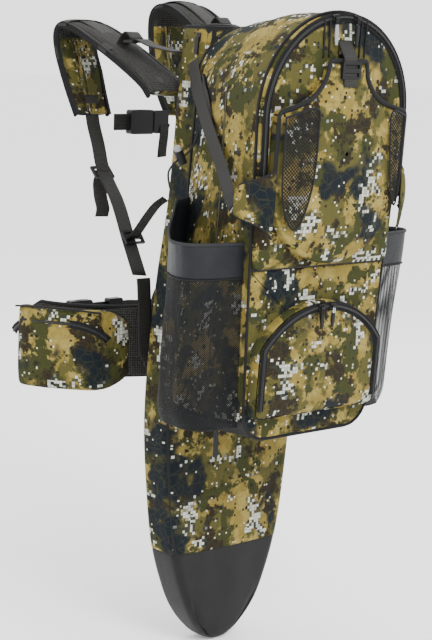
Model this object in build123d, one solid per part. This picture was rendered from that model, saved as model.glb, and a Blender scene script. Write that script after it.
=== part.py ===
"""Hunting backpack: a rifle scabbard with a day bag on its front and a harness on its back.

Frame: +X to the right of someone facing the bag, -Y out through the bag, +Y toward the wearer, +Z up.
The origin is the lowest point of the scabbard's nose, on the scabbard's middle plane. Millimetres.
"""
import os
from math import cos, hypot, radians, sin, tan

from build123d import *

# Scabbard
scabbard_half_depth = 26
scabbard_wall = 6
nose_half, nose_height = 60, 46
seam_half, seam_height = 98, 144
belly_half, belly_height = 120, 350
flank_half, flank_height = 103, 560
neck_half, neck_height = 88, 658
mouth_half, mouth_height = 68, 902
edge_middles = [(82, 94), (113, 246), (115, 450), (95, 610)]
binding_width, binding_thickness = 11, 1.2
zip_tape_width, zip_tape_thickness = 12, 1.5

# Day bag: its back section stands on the scabbard, its front section leans out
bag_wall = 4
bag_base_height = 350
bag_corner = 40
back_low_half, back_high_half, back_high, back_peak = 118, 84, 500, 553
front_low_half, front_high_half, arch_centre = 118, 134, 446
bag_depth_at_base = 156.5
front_lean = 3.2
base_tray_height = 22
rim_width = 16

# Front opening, lid and the pouch on the lid
lid_hinge_height = 236
lid_thickness = 9
soft_gap = 0.3
coil_width, coil_thickness = 9, 1.5
main_zip_low = 340
pouch_depth, pouch_wall = 16, 3
pouch_half, pouch_neck_half, pouch_neck_height = 118, 34, 518
pouch_shoulder_height, pouch_side_low, pouch_low = 450, 336, 244
mesh_thickness = 1.2
wing_height, wing_width, wing_reach = 326, 56, 10
main_slider_angle = 8.9

# Front pocket
pocket_half, pocket_low, pocket_side_high, pocket_peak = 112, 32, 130, 188
pocket_depth, pocket_wall, flap_thickness = 16, 3, 4
pocket_coil_width = 7
pocket_slider_angle = 4.5

# Zip sliders and pulls
slider_length, slider_width, slider_thickness = 12, 8, 3
pull_clearance = 9.5
pull_width, pull_thickness = 7, 3
main_pull_length, pocket_pull_length, base_pull_length = 36, 28, 40

# Side pockets
side_wall = 3
side_pocket_low, collar_low, collar_high, collar_corner_high = 366, 575, 622, 668

# Back panel and its frame
panel_thickness, panel_half_low, panel_half_high = 16, 84, 60
panel_low, panel_high = 396, 868
sheet_thickness, sheet_margin = 1.5, 7
stay_width, stay_thickness, stay_offset, stay_margin = 20, 2.5, 36, 24
lumbar_thickness, lumbar_half, lumbar_low, lumbar_high = 16, 96, 398, 540

# Harness
pad_width, pad_thickness, pad_centre = 70, 12, 87
webbing_narrow, webbing_wide, webbing_thickness = 25, 50, 2
loop_half, loop_height, loop_width, loop_thickness = 50, 37, 14, 3

# Hip belt: an ellipse in plan
belt_centre_y, belt_half_width, belt_half_depth = 185, 205, 140
wing_start, wing_end, wing_thickness = 30, 95, 14
belt_wing_low, belt_wing_high, belt_webbing_middle = 398, 500, 435
hip_pocket_low, hip_pocket_high, hip_pocket_wall, hip_pocket_depth = 380, 498, 2.5, 32
hip_slot_low, hip_slot_high = 474, 484

# Webbing adjusters: a frame with two slots
adjuster_margin, adjuster_height, adjuster_thickness = 9, 22, 4
adjuster_slot, adjuster_slot_offset = 5, 5.5

# Side-release buckles
socket_length, buckle_thickness, socket_margin = 44, 13, 12
socket_hollow_length, socket_hollow_thickness, socket_hollow_margin = 32, 7, 4
socket_window = 14
prong_length, prong_thickness, prong_share, prong_spread = 26, 4, 0.28, 0.36
plug_base_length, plug_margin = 28, 10
tunnel_thickness, tunnel_offset = 5, -4
belt_buckle_y, belt_rest_gap = 323, 6
sternum_buckle = (20, 205, 758)
sternum_rest_gap = -prong_length

# Drawcord and its lock
cord_diameter = 3
cord_clearance = 0.5
lock_diameter, lock_length, lock_wall = 13, 20, 1.4
button_stand, button_travel, button_clearance = 6, 3, 0.3

beyond = 1000  # a reach past every piece, for cutting blocks

# Places taken from the way the pack hangs
drawcord_route = [
    (-150, -62, collar_corner_high),
    (-156, -52, 697),
    (-143, -44, 716),
    (-101, -46, 738),
    (-98, -48, 764),
]
lock_offset = 4.5  # the cord lock rests this far before the middle of the cord's straight run
compression_route = [(-31, 842, 3), (-62, 800, 4), (-105, 758, 4), (-150, 716, 8), (-176, 690, 16)]
lifter_top = 875
lifter_lock_place = (-85, 112, 880)
stabiliser_route = [(-97, 32, 655), (-99, 58, 632), (-101, 84, 602)]
right_lifter_rise = 26
base_pull_place = (-91, -100)

front_of_scabbard = -scabbard_half_depth - binding_thickness - soft_gap
lean = radians(front_lean)
back_plane = Plane(origin=(0, front_of_scabbard, bag_base_height), x_dir=(1, 0, 0), z_dir=(0, -1, 0))
front_plane = Plane(
    origin=(0, front_of_scabbard - bag_depth_at_base, bag_base_height),
    x_dir=(1, 0, 0),
    z_dir=(0, -cos(lean), -sin(lean)),
)
lid_front = soft_gap + lid_thickness
pouch_front = lid_front + pouch_depth
flap_back = pocket_depth + soft_gap
flap_front = flap_back + flap_thickness

made = {}


def save(name, *pieces):
    """Write one node, with each of its solids, to its own file."""
    solids = [solid for piece in pieces for solid in piece.solids()]
    made[name] = solids
    export_step(solids[0] if len(solids) == 1 else Compound(children=solids), f"parts/{name}.step")


def both_sides(name, *pieces):
    """Save left-hand pieces and their mirror images as two nodes."""
    save(f"{name}_left", *pieces)
    save(f"{name}_right", *[piece.mirror(Plane.YZ) for piece in pieces])


def with_mirror(*pieces):
    return [*pieces, *[piece.mirror(Plane.YZ) for piece in pieces]]


def prism(face, plane, low, high):
    """Stand a flat outline on a plane, from one height above the plane to another."""
    return extrude(plane.offset(low) * face, amount=high - low, dir=plane.z_dir)


def block(low, high):
    """A box between two opposite corners."""
    size = [b - a for a, b in zip(low, high)]
    middle = [(a + b) / 2 for a, b in zip(low, high)]
    return Pos(*middle) * Box(*size)


def strip(points, width, thickness, across):
    """A flat strip through the points: its width lies along 'across' and its bends are round."""
    across = Vector(*across)
    corners = [Vector(*point) for point in points]
    solid = None
    for index, (start, end) in enumerate(zip(corners, corners[1:])):
        run = end - start
        forward = run.normalized()
        side = (across - forward * across.dot(forward)).normalized()
        piece = Plane(origin=(start + end) * 0.5, x_dir=side, z_dir=forward) * Box(width, thickness, run.length)
        if index:
            piece += Plane(origin=start, z_dir=side) * Cylinder(thickness / 2, width)
        solid = piece if solid is None else solid + piece
    return solid


def rounded_route(points, label):
    """A line through the points with tangent arcs, each as large as its two runs allow."""
    corners = [Vector(*point) for point in points]
    edges = []
    last = corners[0]
    radii = []
    for before, corner, after in zip(corners, corners[1:], corners[2:]):
        back = (before - corner).normalized()
        ahead = (after - corner).normalized()
        half_turn = radians(180 - back.get_angle(ahead)) / 2
        reach = 0.45 * min((corner - before).length, (after - corner).length)
        radius = reach / tan(half_turn)
        start = corner + back * reach
        end = corner + ahead * reach
        inward = (back + ahead).normalized()
        middle = corner + inward * (radius / cos(half_turn) - radius)
        edges += [Line(last, start), ThreePointArc(start, middle, end)]
        last = end
        radii.append(round(radius, 1))
    edges.append(Line(last, corners[-1]))
    print(label, "radii", radii, "length", round(sum(edge.length for edge in edges), 1))
    return Wire(edges)


# Scabbard ------------------------------------------------------------------------------------------


def scabbard_side(inset):
    """The right edge of the scabbard: five arcs, two of them below the boot's seam, and a straight neck."""
    knots = [
        (0, inset),
        (nose_half - inset, nose_height),
        (seam_half - inset, seam_height),
        (belly_half - inset, belly_height),
        (flank_half - inset, flank_height),
        (neck_half - inset, neck_height),
    ]
    under_nose = (0.56 * nose_half - 0.4 * inset, 0.3 * nose_height + 0.9 * inset)
    middles = [under_nose, *[(half - inset, height) for half, height in edge_middles]]
    arcs = [ThreePointArc(*points) for points in zip(knots, middles, knots[1:])]
    return [*arcs, Line(arcs[-1] @ 1, (mouth_half - inset, mouth_height))]


def scabbard_outline(inset):
    """The leaf shape of the scabbard, seen from the front, shrunk by inset everywhere but at its mouth."""
    right = scabbard_side(inset)
    mouth = Line(right[-1] @ 1, (inset - mouth_half, mouth_height))
    return make_face([*right, mouth, *[edge.mirror(Plane.YZ) for edge in right]])


def edge_band():
    """The outline of the binding along the right edge, above the boot's seam."""
    outer, inner = [scabbard_side(inset)[2:] for inset in (0, binding_width)]
    foot = Line(inner[0] @ 0, outer[0] @ 0)
    head = Line(outer[-1] @ 1, inner[-1] @ 1)
    return make_face([foot, *outer, head, *inner])


def make_scabbard():
    depth = scabbard_half_depth
    outer = prism(scabbard_outline(0), Plane.XZ, -depth, depth)
    hollow = prism(scabbard_outline(scabbard_wall), Plane.XZ, scabbard_wall - depth, depth - scabbard_wall)
    shell = outer - hollow
    below_seam = block((-beyond, -beyond, 0), (beyond, beyond, seam_height))
    save("scabbard_boot", shell & below_seam)
    save("scabbard_sleeve", shell - below_seam)

    bands = [
        prism(edge_band(), Plane.XZ, low, low + binding_thickness)
        for low in (-depth - binding_thickness, depth)
    ]
    bands = with_mirror(*bands)
    slide_run = Vector(neck_half - mouth_half, 0, mouth_height - neck_height).normalized()
    outward = Vector(-slide_run.Z, 0, slide_run.X)
    lift = outward * (zip_tape_thickness / 2)
    tape = [
        Vector(-neck_half, -zip_tape_width, neck_height) + lift,
        Vector(-mouth_half, -zip_tape_width, mouth_height) + lift,
    ]
    tape = strip(tape, zip_tape_width, zip_tape_thickness, (0, 1, 0))
    save("scabbard_trim", *bands, tape)
    centre = Vector(-mouth_half - zip_tape_thickness - slider_thickness, -zip_tape_width, mouth_height - 12)
    body = Box(slider_thickness, slider_width, slider_length)
    grip = Pos(-slider_thickness, 0, -slider_length) * Box(pull_thickness, pull_width, slider_length * 2)
    save("scabbard_zip_slider", Plane(origin=centre, x_dir=(1, 0, 0), z_dir=slide_run) * (body + grip))
    print("scabbard slider travels along", tuple(round(v, 4) for v in -slide_run))


# Day bag -------------------------------------------------------------------------------------------


def bag_outline(low_half, high_half, high, peak, inset):
    """A section of the bag: flat base, rounded corners, leaning sides and an arched top."""
    centre = low_half - bag_corner
    radius = bag_corner - inset
    foot = (centre, inset)
    heel = (centre + radius * sin(radians(45)), bag_corner - radius * cos(radians(45)))
    hip = (low_half - inset, bag_corner)
    shoulder = (high_half - inset, high)
    right = [ThreePointArc(foot, heel, hip), Line(hip, shoulder)]
    left = [
        Line((-shoulder[0], high), (-hip[0], bag_corner)),
        ThreePointArc((-hip[0], bag_corner), (-heel[0], heel[1]), (-centre, inset)),
    ]
    top = ThreePointArc(shoulder, (0, peak - inset), (-shoulder[0], high))
    return make_face([Line((-centre, inset), foot), *right, top, *left])


def bag_solid(inset):
    back = bag_outline(back_low_half, back_high_half, back_high, back_peak, inset)
    front = bag_outline(front_low_half, front_high_half, arch_centre, arch_centre + front_high_half, inset)
    sections = [back_plane.offset(inset) * back, front_plane.offset(-inset) * front]
    return loft(sections, ruled=True)


def front_half_width(height):
    """Half the bag's width on its front plane, below the arch."""
    rise = (height - bag_corner) / (arch_centre - bag_corner)
    return front_low_half + (front_high_half - front_low_half) * rise


def arch_panel(low, inset):
    """The part of the front outline above a height, shrunk by inset at its sides and arch."""
    foot = front_half_width(low) - inset
    radius = front_high_half - inset
    arch = ThreePointArc((radius, arch_centre), (0, arch_centre + radius), (-radius, arch_centre))
    right = Line((foot, low), (radius, arch_centre))
    left = Line((-radius, arch_centre), (-foot, low))
    return make_face([Line((-foot, low), (foot, low)), right, arch, left])


def make_bag():
    mouth_low = lid_hinge_height + rim_width
    mouth = prism(arch_panel(mouth_low, rim_width), front_plane, -2 * bag_wall, bag_wall)
    shell = bag_solid(0) - bag_solid(bag_wall) - mouth
    tray_top = bag_base_height + base_tray_height
    tray = block((-beyond, -beyond, 0), (beyond, beyond, tray_top))
    save("bag_base", shell & tray)
    save("main_bag_shell", shell - tray)


def zip_slider():
    """A slider lying on a zip: its length along local X, its top toward +Z."""
    plate = Box(slider_length, slider_width, slider_thickness)
    plate = chamfer(plate.edges().filter_by(Axis.Z), 1.5)
    bridge = Pos(0, 0, slider_thickness) * Box(slider_width, 3, slider_thickness)
    gap = Pos(0, 0, slider_thickness * 0.85) * Box(slider_width / 2, 4, slider_thickness / 2)
    return plate + bridge - gap


def zip_pull(length):
    """A moulded pull hanging from its pivot at the origin, along local -Y."""
    grip = Box(pull_width, length - pull_clearance, pull_thickness)
    grip = fillet(grip.edges().filter_by(Axis.Z), 1.5)
    return Pos(0, -(length + pull_clearance) / 2, 0) * grip


def slider_pair(name, centre_height, radius, angle, level, pull_length):
    """Two sliders, one each side of an arch's top on the front plane, with their pulls."""
    for side, sign in (("left", -1), ("right", 1)):
        turn = radians(angle) * sign
        x, height = radius * sin(turn), centre_height + radius * cos(turn)
        middle = level + soft_gap + slider_thickness / 2
        on_arch = Pos(x, height, middle) * Rot(0, 0, -angle * sign)
        save(f"{name}_slider_{side}", front_plane * (on_arch * zip_slider()))
        pivot = Pos(x, height, middle + slider_thickness / 2)
        save(f"{name}_pull_{side}", front_plane * (pivot * zip_pull(pull_length)))
        print(f"{name} pull pivot {side}", show(front_plane.from_local_coords((x, height, middle + 1.5))))


def show(point):
    return tuple(round(value, 2) for value in Vector(point))


def pouch_outline(inset, lift):
    """The bib-shaped pouch: a narrow neck, scooped shoulders, straight sides and a round bottom."""
    neck = (pouch_neck_half - inset, pouch_neck_height + lift)
    scoop = [
        neck,
        (pouch_neck_half + 6 - inset, pouch_neck_height - 26 + lift),
        (pouch_neck_half + 32 - inset, pouch_shoulder_height + 16 + lift),
        (pouch_half - inset, pouch_shoulder_height + lift),
    ]
    side_low = (pouch_half - inset, pouch_side_low)
    right = [Spline(*scoop), Line(scoop[-1], side_low)]
    left = [edge.mirror(Plane.YZ) for edge in right]
    bottom = ThreePointArc(side_low, (0, pouch_low + inset), (-side_low[0], pouch_side_low))
    return make_face([Line((-neck[0], neck[1]), neck), *right, bottom, *left])


def mesh_window():
    """The left-hand mesh gusset on the pouch's face."""
    outer = pouch_half - 6
    corners = [
        (-outer, pouch_shoulder_height - 6),
        (-62, pouch_shoulder_height + 6),
        (-56, pouch_shoulder_height - 20),
        (-60, pouch_side_low + 14),
        (-82, pouch_side_low - 40),
        (-outer + 4, pouch_side_low),
    ]
    return make_face(Polyline(*corners, close=True))


def make_lid():
    save("lid_panel", prism(arch_panel(lid_hinge_height + 3, 0), front_plane, soft_gap, lid_front))
    coil = arch_panel(main_zip_low, 0) - arch_panel(main_zip_low - coil_width, coil_width)
    save("main_zip_coil", prism(coil, front_plane, lid_front, lid_front + coil_thickness))

    face = pouch_front - pouch_wall
    pouch = prism(pouch_outline(0, 0), front_plane, lid_front, pouch_front)
    pouch -= prism(pouch_outline(pouch_wall, pouch_half / 3), front_plane, lid_front, face)
    windows = with_mirror(prism(mesh_window(), front_plane, face, pouch_front))
    for window in windows:
        pouch -= window
    save("bib_pouch", pouch)
    middle = face + pouch_wall / 2
    mesh = prism(mesh_window(), front_plane, middle - mesh_thickness / 2, middle + mesh_thickness / 2)
    save("bib_mesh", *with_mirror(mesh))

    half = front_half_width(wing_height)
    wing = [
        (-pouch_half, wing_height, face + pouch_wall / 2),
        (-pouch_half - 6, wing_height, face + pouch_wall / 2),
        (-half - 10, wing_height, lid_front + 11),
        (-half - 19, wing_height, 4),
        (-half - 20, wing_height, -wing_reach),
    ]
    save("bib_wings", *with_mirror(front_plane * strip(wing, wing_width, 3, (0, 1, 0))))

    strap = [
        (0, pouch_neck_height + 20, lid_front + 1),
        (0, pouch_neck_height + 8, pouch_front),
        (0, pouch_neck_height, pouch_front + 1),
        (0, pouch_neck_height - 34, pouch_front + 1),
    ]
    save("bib_strap", front_plane * strip(strap, webbing_narrow, webbing_thickness, (1, 0, 0)))
    save("bib_ladder_lock", front_plane * (Pos(0, pouch_neck_height - 12, pouch_front + 4) * ladder_lock()))

    radius = front_high_half - coil_width / 2
    slider_pair("main_zip", arch_centre, radius, main_slider_angle, lid_front + coil_thickness, main_pull_length)
    print("lid hinge", show(front_plane.from_local_coords((0, lid_hinge_height, lid_front / 2))))
    print("arch centre", show(front_plane.from_local_coords((0, arch_centre, lid_front))))


def ladder_lock():
    """A flat adjuster with two webbing slots, lying in its own XY plane with its bars along X."""
    frame = Box(webbing_narrow + adjuster_margin, adjuster_height, adjuster_thickness)
    for y in (-adjuster_slot_offset, adjuster_slot_offset):
        frame -= Pos(0, y, 0) * Box(webbing_narrow + 1.5, adjuster_slot, 2 * adjuster_thickness)
    return frame


def pocket_outline(inset):
    half = pocket_half - inset
    arch = ThreePointArc((half, pocket_side_high), (0, pocket_peak - inset), (-half, pocket_side_high))
    low = pocket_low + inset
    right = Line((half, low), (half, pocket_side_high))
    left = Line((-half, pocket_side_high), (-half, low))
    return make_face([Line((-half, low), (half, low)), right, arch, left])


def above(height):
    """Everything on a front-plane drawing above a height."""
    corners = [(-beyond, height), (beyond, height), (beyond, beyond), (-beyond, beyond)]
    return make_face(Polyline(*corners, close=True))


def make_front_pocket():
    gusset = pocket_outline(0) - pocket_outline(pocket_wall)
    save("front_pocket_gusset", prism(gusset, front_plane, 0, pocket_depth))
    flap_low = pocket_low + pocket_wall
    flap = pocket_outline(0) & above(flap_low)
    save("front_pocket_flap", prism(flap, front_plane, flap_back, flap_front))
    ring = pocket_outline(0) - pocket_outline(pocket_coil_width)
    coil = ring & above(flap_low + pocket_coil_width)
    save("front_pocket_coil", prism(coil, front_plane, flap_front, flap_front + mesh_thickness))
    rise = pocket_peak - pocket_side_high
    arch_radius = (pocket_half**2 + rise**2) / (2 * rise)
    centre = pocket_peak - arch_radius
    level = flap_front + mesh_thickness
    radius = arch_radius - pocket_coil_width / 2
    slider_pair("front_pocket", centre, radius, pocket_slider_angle, level, pocket_pull_length)
    print("flap hinge", show(front_plane.from_local_coords((0, pocket_low + 1, (flap_back + flap_front) / 2))))
    print("pocket arch centre", show(front_plane.from_local_coords((0, centre, flap_front))))


# Side pockets --------------------------------------------------------------------------------------


def side_plan(points, inset):
    """A pocket's outline from above: a bulge from the back seam to the front seam, closed by a line."""
    back, *bulge, front = points
    inner = [(x + inset * dx, y + inset * dy) for x, y, dx, dy in bulge]
    ends = [(back[0], back[1] - inset), (front[0], front[1] + inset)]
    curve = Spline(ends[0], *inner, ends[1])
    return make_face([curve, Line(ends[1], ends[0])])


def side_pocket_solid(inset, low, high):
    """The left pocket between two heights; each bulge point says which way its wall moves inward."""
    front_y = front_of_scabbard - bag_depth_at_base
    bottom = [(-104, -30), (-170, -60, 0.8, -0.6), (-190, -118, 1, 0), (-172, -166, 0.8, 0.6), (-104, front_y + 8)]
    top = [
        (-96, -32),
        (-162, -76, 0.7, -0.7),
        (-206, -128, 1, -0.2),
        (-205, -168, 0.9, 0.5),
        (-112, front_y - 6),
    ]
    sections = [
        Pos(0, 0, side_pocket_low) * side_plan(bottom, inset),
        Pos(0, 0, collar_corner_high) * side_plan(top, inset),
    ]
    return loft(sections, ruled=True) & block((-beyond, -beyond, low), (0, beyond, high))


def make_side_pockets():
    bag = bag_solid(0)
    outer = side_pocket_solid(0, side_pocket_low, collar_corner_high)
    hollow = side_pocket_solid(side_wall, side_pocket_low + side_wall, collar_corner_high)
    pouch = outer - hollow - bag
    seam, ramp_top, ramp_foot = (front_of_scabbard, -62, -110)
    above_rim = Polyline(
        (beyond, collar_high),
        (beyond, beyond),
        (-beyond, beyond),
        (-beyond, collar_high),
        (ramp_foot, collar_high),
        (ramp_top, collar_corner_high),
        (seam, collar_corner_high),
        (seam, collar_high),
        close=True,
    )
    pouch -= prism(make_face(above_rim), Plane.YZ, -beyond, 0)
    below_collar = block((-beyond, -beyond, 0), (0, beyond, collar_low))
    save("side_mesh_pockets", *with_mirror(largest(pouch & below_collar)))
    save("side_pocket_collars", *with_mirror(largest(pouch - below_collar)))


def largest(shape):
    return max(shape.solids(), key=lambda solid: solid.volume)


def make_drawcord():
    """The cord from a collar's raised corner, through its lock, to the bag's side."""
    path = rounded_route(drawcord_route, "drawcord")
    start = Plane(origin=drawcord_route[0], z_dir=path % 0)
    cord = sweep(start * Circle(cord_diameter / 2), path=path)
    both_sides("pocket_drawcord", cord)

    run_start, run_end = [Vector(*point) for point in drawcord_route[2:4]]
    forward = (run_end - run_start).normalized()
    centre = (run_start + run_end) * 0.5 - forward * lock_offset
    lock = Plane(origin=centre, x_dir=forward, z_dir=Vector(-forward.Z, 0, forward.X).normalized())
    radius = lock_diameter / 2
    cord_radius = cord_diameter / 2 + cord_clearance
    floor = cord_radius + 1.5
    barrel = Pos(0, 0, floor - cord_radius) * Cylinder(radius, lock_length)
    top = floor - cord_radius + lock_length / 2
    well_radius = radius - lock_wall
    depth = top - floor
    barrel -= Pos(0, 0, floor + depth / 2) * Cylinder(well_radius, depth)
    barrel -= Rot(0, 90, 0) * Cylinder(cord_radius, 2 * lock_diameter)
    both_sides("cord_lock_barrel", lock * barrel)
    button_low = floor + button_travel + button_clearance
    button_high = top + button_stand
    button = Pos(0, 0, (button_low + button_high) / 2)
    button *= Cylinder(well_radius - button_clearance, button_high - button_low)
    both_sides("cord_lock_button", lock * button)
    print("cord lock slides along", show(forward), "button axis", show(lock.z_dir))


# Back panel, frame and haul loop -------------------------------------------------------------------


def tapered_panel(margin):
    """The back panel's outline, with a margin taken off every side."""
    low, high = panel_low + margin, panel_high - margin
    half_low, half_high = panel_half_low - margin, panel_half_high - margin
    corners = [(-half_low, low), (half_low, low), (half_high, high), (-half_high, high)]
    return make_face(Polyline(*corners, close=True))


def make_back():
    seat = scabbard_half_depth
    panel = prism(tapered_panel(0), Plane.XZ, -seat - panel_thickness, -seat)
    sheet = prism(tapered_panel(sheet_margin), Plane.XZ, -seat - sheet_thickness, -seat)
    stay_back = seat + sheet_thickness
    stay = block(
        (stay_offset - stay_width / 2, stay_back, panel_low + stay_margin),
        (stay_offset + stay_width / 2, stay_back + stay_thickness, panel_high - stay_margin),
    )
    stays = with_mirror(stay)
    save("frame_sheet", sheet)
    save("frame_stays", *stays)
    save("back_panel", panel - sheet - stays[0] - stays[1])
    back = seat + panel_thickness
    lumbar = block((-lumbar_half, back, lumbar_low), (lumbar_half, back + lumbar_thickness, lumbar_high))
    save("lumbar_pad", fillet(lumbar.edges().filter_by(Axis.Y), 12))

    middle = seat + panel_thickness / 2
    loop = [
        (-loop_half, middle, panel_high),
        (-loop_half, middle, panel_high + 0.6 * loop_height),
        (-loop_half + 22, middle, panel_high + loop_height),
        (loop_half - 22, middle, panel_high + loop_height),
        (loop_half, middle, panel_high + 0.6 * loop_height),
        (loop_half, middle, panel_high),
    ]
    save("haul_loop", strip(loop, loop_width, loop_thickness, (0, 1, 0)))


# Shoulder straps -----------------------------------------------------------------------------------

left_pad_path = [
    (56, 824),
    (112, 852),
    (168, 876),
    (215, 894),
    (248, 900),
    (262, 888),
    (258, 862),
    (243, 830),
    (228, 798),
    (212, 768),
]
right_pad_path = [
    (56, 832),
    (112, 872),
    (160, 908),
    (205, 930),
    (236, 932),
    (252, 916),
    (252, 880),
    (243, 840),
    (230, 800),
    (212, 768),
]
anchor_top = (-115, 42, 540)
anchor_low = (-112, scabbard_half_depth + binding_thickness + webbing_thickness / 2, 438)
lock_place = (-90, 178, 688)


def strap_side(side, path, lifter_rise):
    """One shoulder strap on the left, swung from a vertical line at its outer edge, or its mirror image."""
    across = (1, 0, 0)
    pad = strip([(-pad_centre, y, z) for y, z in path], pad_width, pad_thickness, across)
    tip_y, tip_z = path[-1]
    foot = (anchor_top[0], anchor_top[1] + 11, anchor_top[2] + 8)
    lower = [
        (-pad_centre, tip_y, tip_z - pad_thickness / 2 - 1),
        (-89, 194, 725),
        lock_place,
        (-96, 134, 645),
        (-106, 92, 594),
        foot,
    ]
    lifter = [
        (-85, 122, lifter_top + lifter_rise),
        (-84, 75, lifter_top - 3 + 0.7 * lifter_rise),
        (-80, 30, lifter_top - 9),
    ]
    webbing = [
        strip(lower, webbing_narrow, webbing_thickness, across),
        strip(lifter, webbing_narrow, webbing_thickness, across),
        strip(stabiliser_route, webbing_narrow - 5, webbing_thickness, across),
    ]
    down = Vector(*lower[3]) - Vector(*lock_place)
    behind = Vector(0, -down.Z, down.Y).normalized()
    main_lock = Plane(origin=Vector(*lock_place) + behind * 4, x_dir=across, z_dir=behind) * ladder_lock()
    lifter_lock = Pos(*lifter_lock_place) * Pos(0, 0, lifter_rise) * ladder_lock()
    slope = Vector(0, 51, -42).normalized()
    side_place = Vector(*stabiliser_route[-1]) + slope * 6
    side_lock = Plane(origin=side_place, x_dir=across, z_dir=slope) * ladder_lock()
    pieces = {
        "shoulder_pad": [pad],
        "strap_webbing": webbing,
        "strap_adjusters": [main_lock, lifter_lock, side_lock],
    }
    for name, solids in pieces.items():
        placed = solids if side == "left" else [solid.mirror(Plane.YZ) for solid in solids]
        save(f"{name}_{side}", *placed)


def make_straps():
    strap_side("left", left_pad_path, 0)
    strap_side("right", right_pad_path, right_lifter_rise)
    anchor = strip([anchor_low, anchor_top], webbing_narrow, webbing_thickness, (1, 0, 0))
    save("strap_anchors", *with_mirror(anchor))


# Compression straps --------------------------------------------------------------------------------


def on_bag_side(y, z, clearance):
    """A point beside the bag's left wall, which leans out from its back section to its front one."""
    height = z - bag_base_height
    back = back_low_half
    back += (back_high_half - back_low_half) * (height - bag_corner) / (back_high - bag_corner)
    front = front_half_width(height)
    depth = bag_depth_at_base + height * tan(lean)
    share = (front_of_scabbard - y) / depth
    return -(back + (front - back) * share + clearance), y, z


def make_compression_straps():
    """Webbing from the scabbard's edge to the pouch's wing, with an adjuster at its upper end."""
    end_x = -front_half_width(wing_height) - 20
    end = front_plane.from_local_coords((end_x, wing_height, -wing_reach - webbing_narrow / 2))
    path = [*[on_bag_side(*stop) for stop in compression_route], (end.X, end.Y, end.Z)]
    across = Vector(0, 0.62, -0.78)
    save("compression_straps", *with_mirror(strip(path, webbing_narrow, webbing_thickness, across)))
    start, bend = Vector(*path[0]), Vector(*path[1])
    run = (bend - start).normalized()
    side = (across - run * across.dot(run)).normalized()
    outward = run.cross(side)
    if outward.X > 0:
        outward = outward * -1
    place = Plane(origin=(start + bend) * 0.5 + outward * 3.3, x_dir=side, z_dir=outward)
    save("compression_buckles", *with_mirror(place * ladder_lock()))


# Buckles -------------------------------------------------------------------------------------------


def buckle_socket(web):
    """The socket half: mouth at local X = 0, body toward -X, web's width along local Z."""
    body = Pos(-socket_length / 2, 0, 0) * Box(socket_length, buckle_thickness, web + socket_margin)
    body = fillet(body.edges().filter_by(Axis.Y), 4)
    hollow = Box(socket_hollow_length, socket_hollow_thickness, web + socket_hollow_margin)
    body -= Pos(-socket_hollow_length / 2, 0, 0) * hollow
    body -= Pos(-socket_length / 2, 0, 0) * Box(socket_window, socket_hollow_thickness, 2 * web)
    return body - Pos(-socket_length, 0, 0) * Box(socket_length, webbing_thickness + 1, web + 1)


def buckle_plug(web, gap):
    """The plug half: two prongs toward -X from a base with a tunnel for the webbing."""
    middle = gap + prong_length + plug_base_length / 2
    base = Pos(middle, -1.5, 0) * Box(plug_base_length, buckle_thickness, web + plug_margin)
    base = fillet(base.edges().filter_by(Axis.Y), 3)
    base -= Pos(middle, tunnel_offset, 0) * Box(2 * plug_base_length, tunnel_thickness, web + 2)
    prong = Pos(gap + prong_length / 2, 1, 0) * Box(prong_length, prong_thickness, web * prong_share)
    spread = web * prong_spread
    return base + Pos(0, 0, spread) * prong + Pos(0, 0, -spread) * prong


def make_sternum():
    x, y, z = sternum_buckle
    web = webbing_narrow
    place = Pos(*sternum_buckle)
    pad_edge = pad_centre - pad_width / 2
    tunnel_y = y + tunnel_offset
    left_end = x - socket_length + 8
    left = strip([(-pad_edge, y, z), (left_end, y, z)], web, webbing_thickness, (0, 0, 1))
    right = strip([(x + 6, tunnel_y, z), (pad_edge - 1.5, tunnel_y, z)], web, webbing_thickness, (0, 0, 1))
    save("sternum_strap", left, right)
    save("sternum_buckle_socket", place * buckle_socket(web))
    save("sternum_buckle_plug", place * buckle_plug(web, sternum_rest_gap))


# Hip belt ------------------------------------------------------------------------------------------


def belt_point(angle, offset=0):
    """A point of the left half of the belt, from the back round to the front, moved outward by offset."""
    turn = radians(angle)
    x, y = -belt_half_width * sin(turn), -belt_half_depth * cos(turn)
    nx, ny = x / belt_half_width**2, y / belt_half_depth**2
    size = hypot(nx, ny)
    return x + offset * nx / size, belt_centre_y + y + offset * ny / size


def wing_turns():
    steps = 9
    return [wing_start + (wing_end - wing_start) * step / steps for step in range(steps + 1)]


def hip_pocket_plan(inset):
    """The hip pocket from above: its back follows the wing, its front is flat between two slopes."""
    near, far = wing_thickness / 2 + soft_gap, wing_thickness / 2 + hip_pocket_depth
    back = [belt_point(angle, near + inset) for angle in wing_turns()[1:-1]]
    front = [belt_point(angle, far - inset) for angle in (86, 52)]
    tip = belt_point(91 - inset / 2, near + 9)
    root = belt_point(36 + inset / 2, near + 7)
    return make_face(Polyline(*back, tip, *front, root, close=True))


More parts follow.
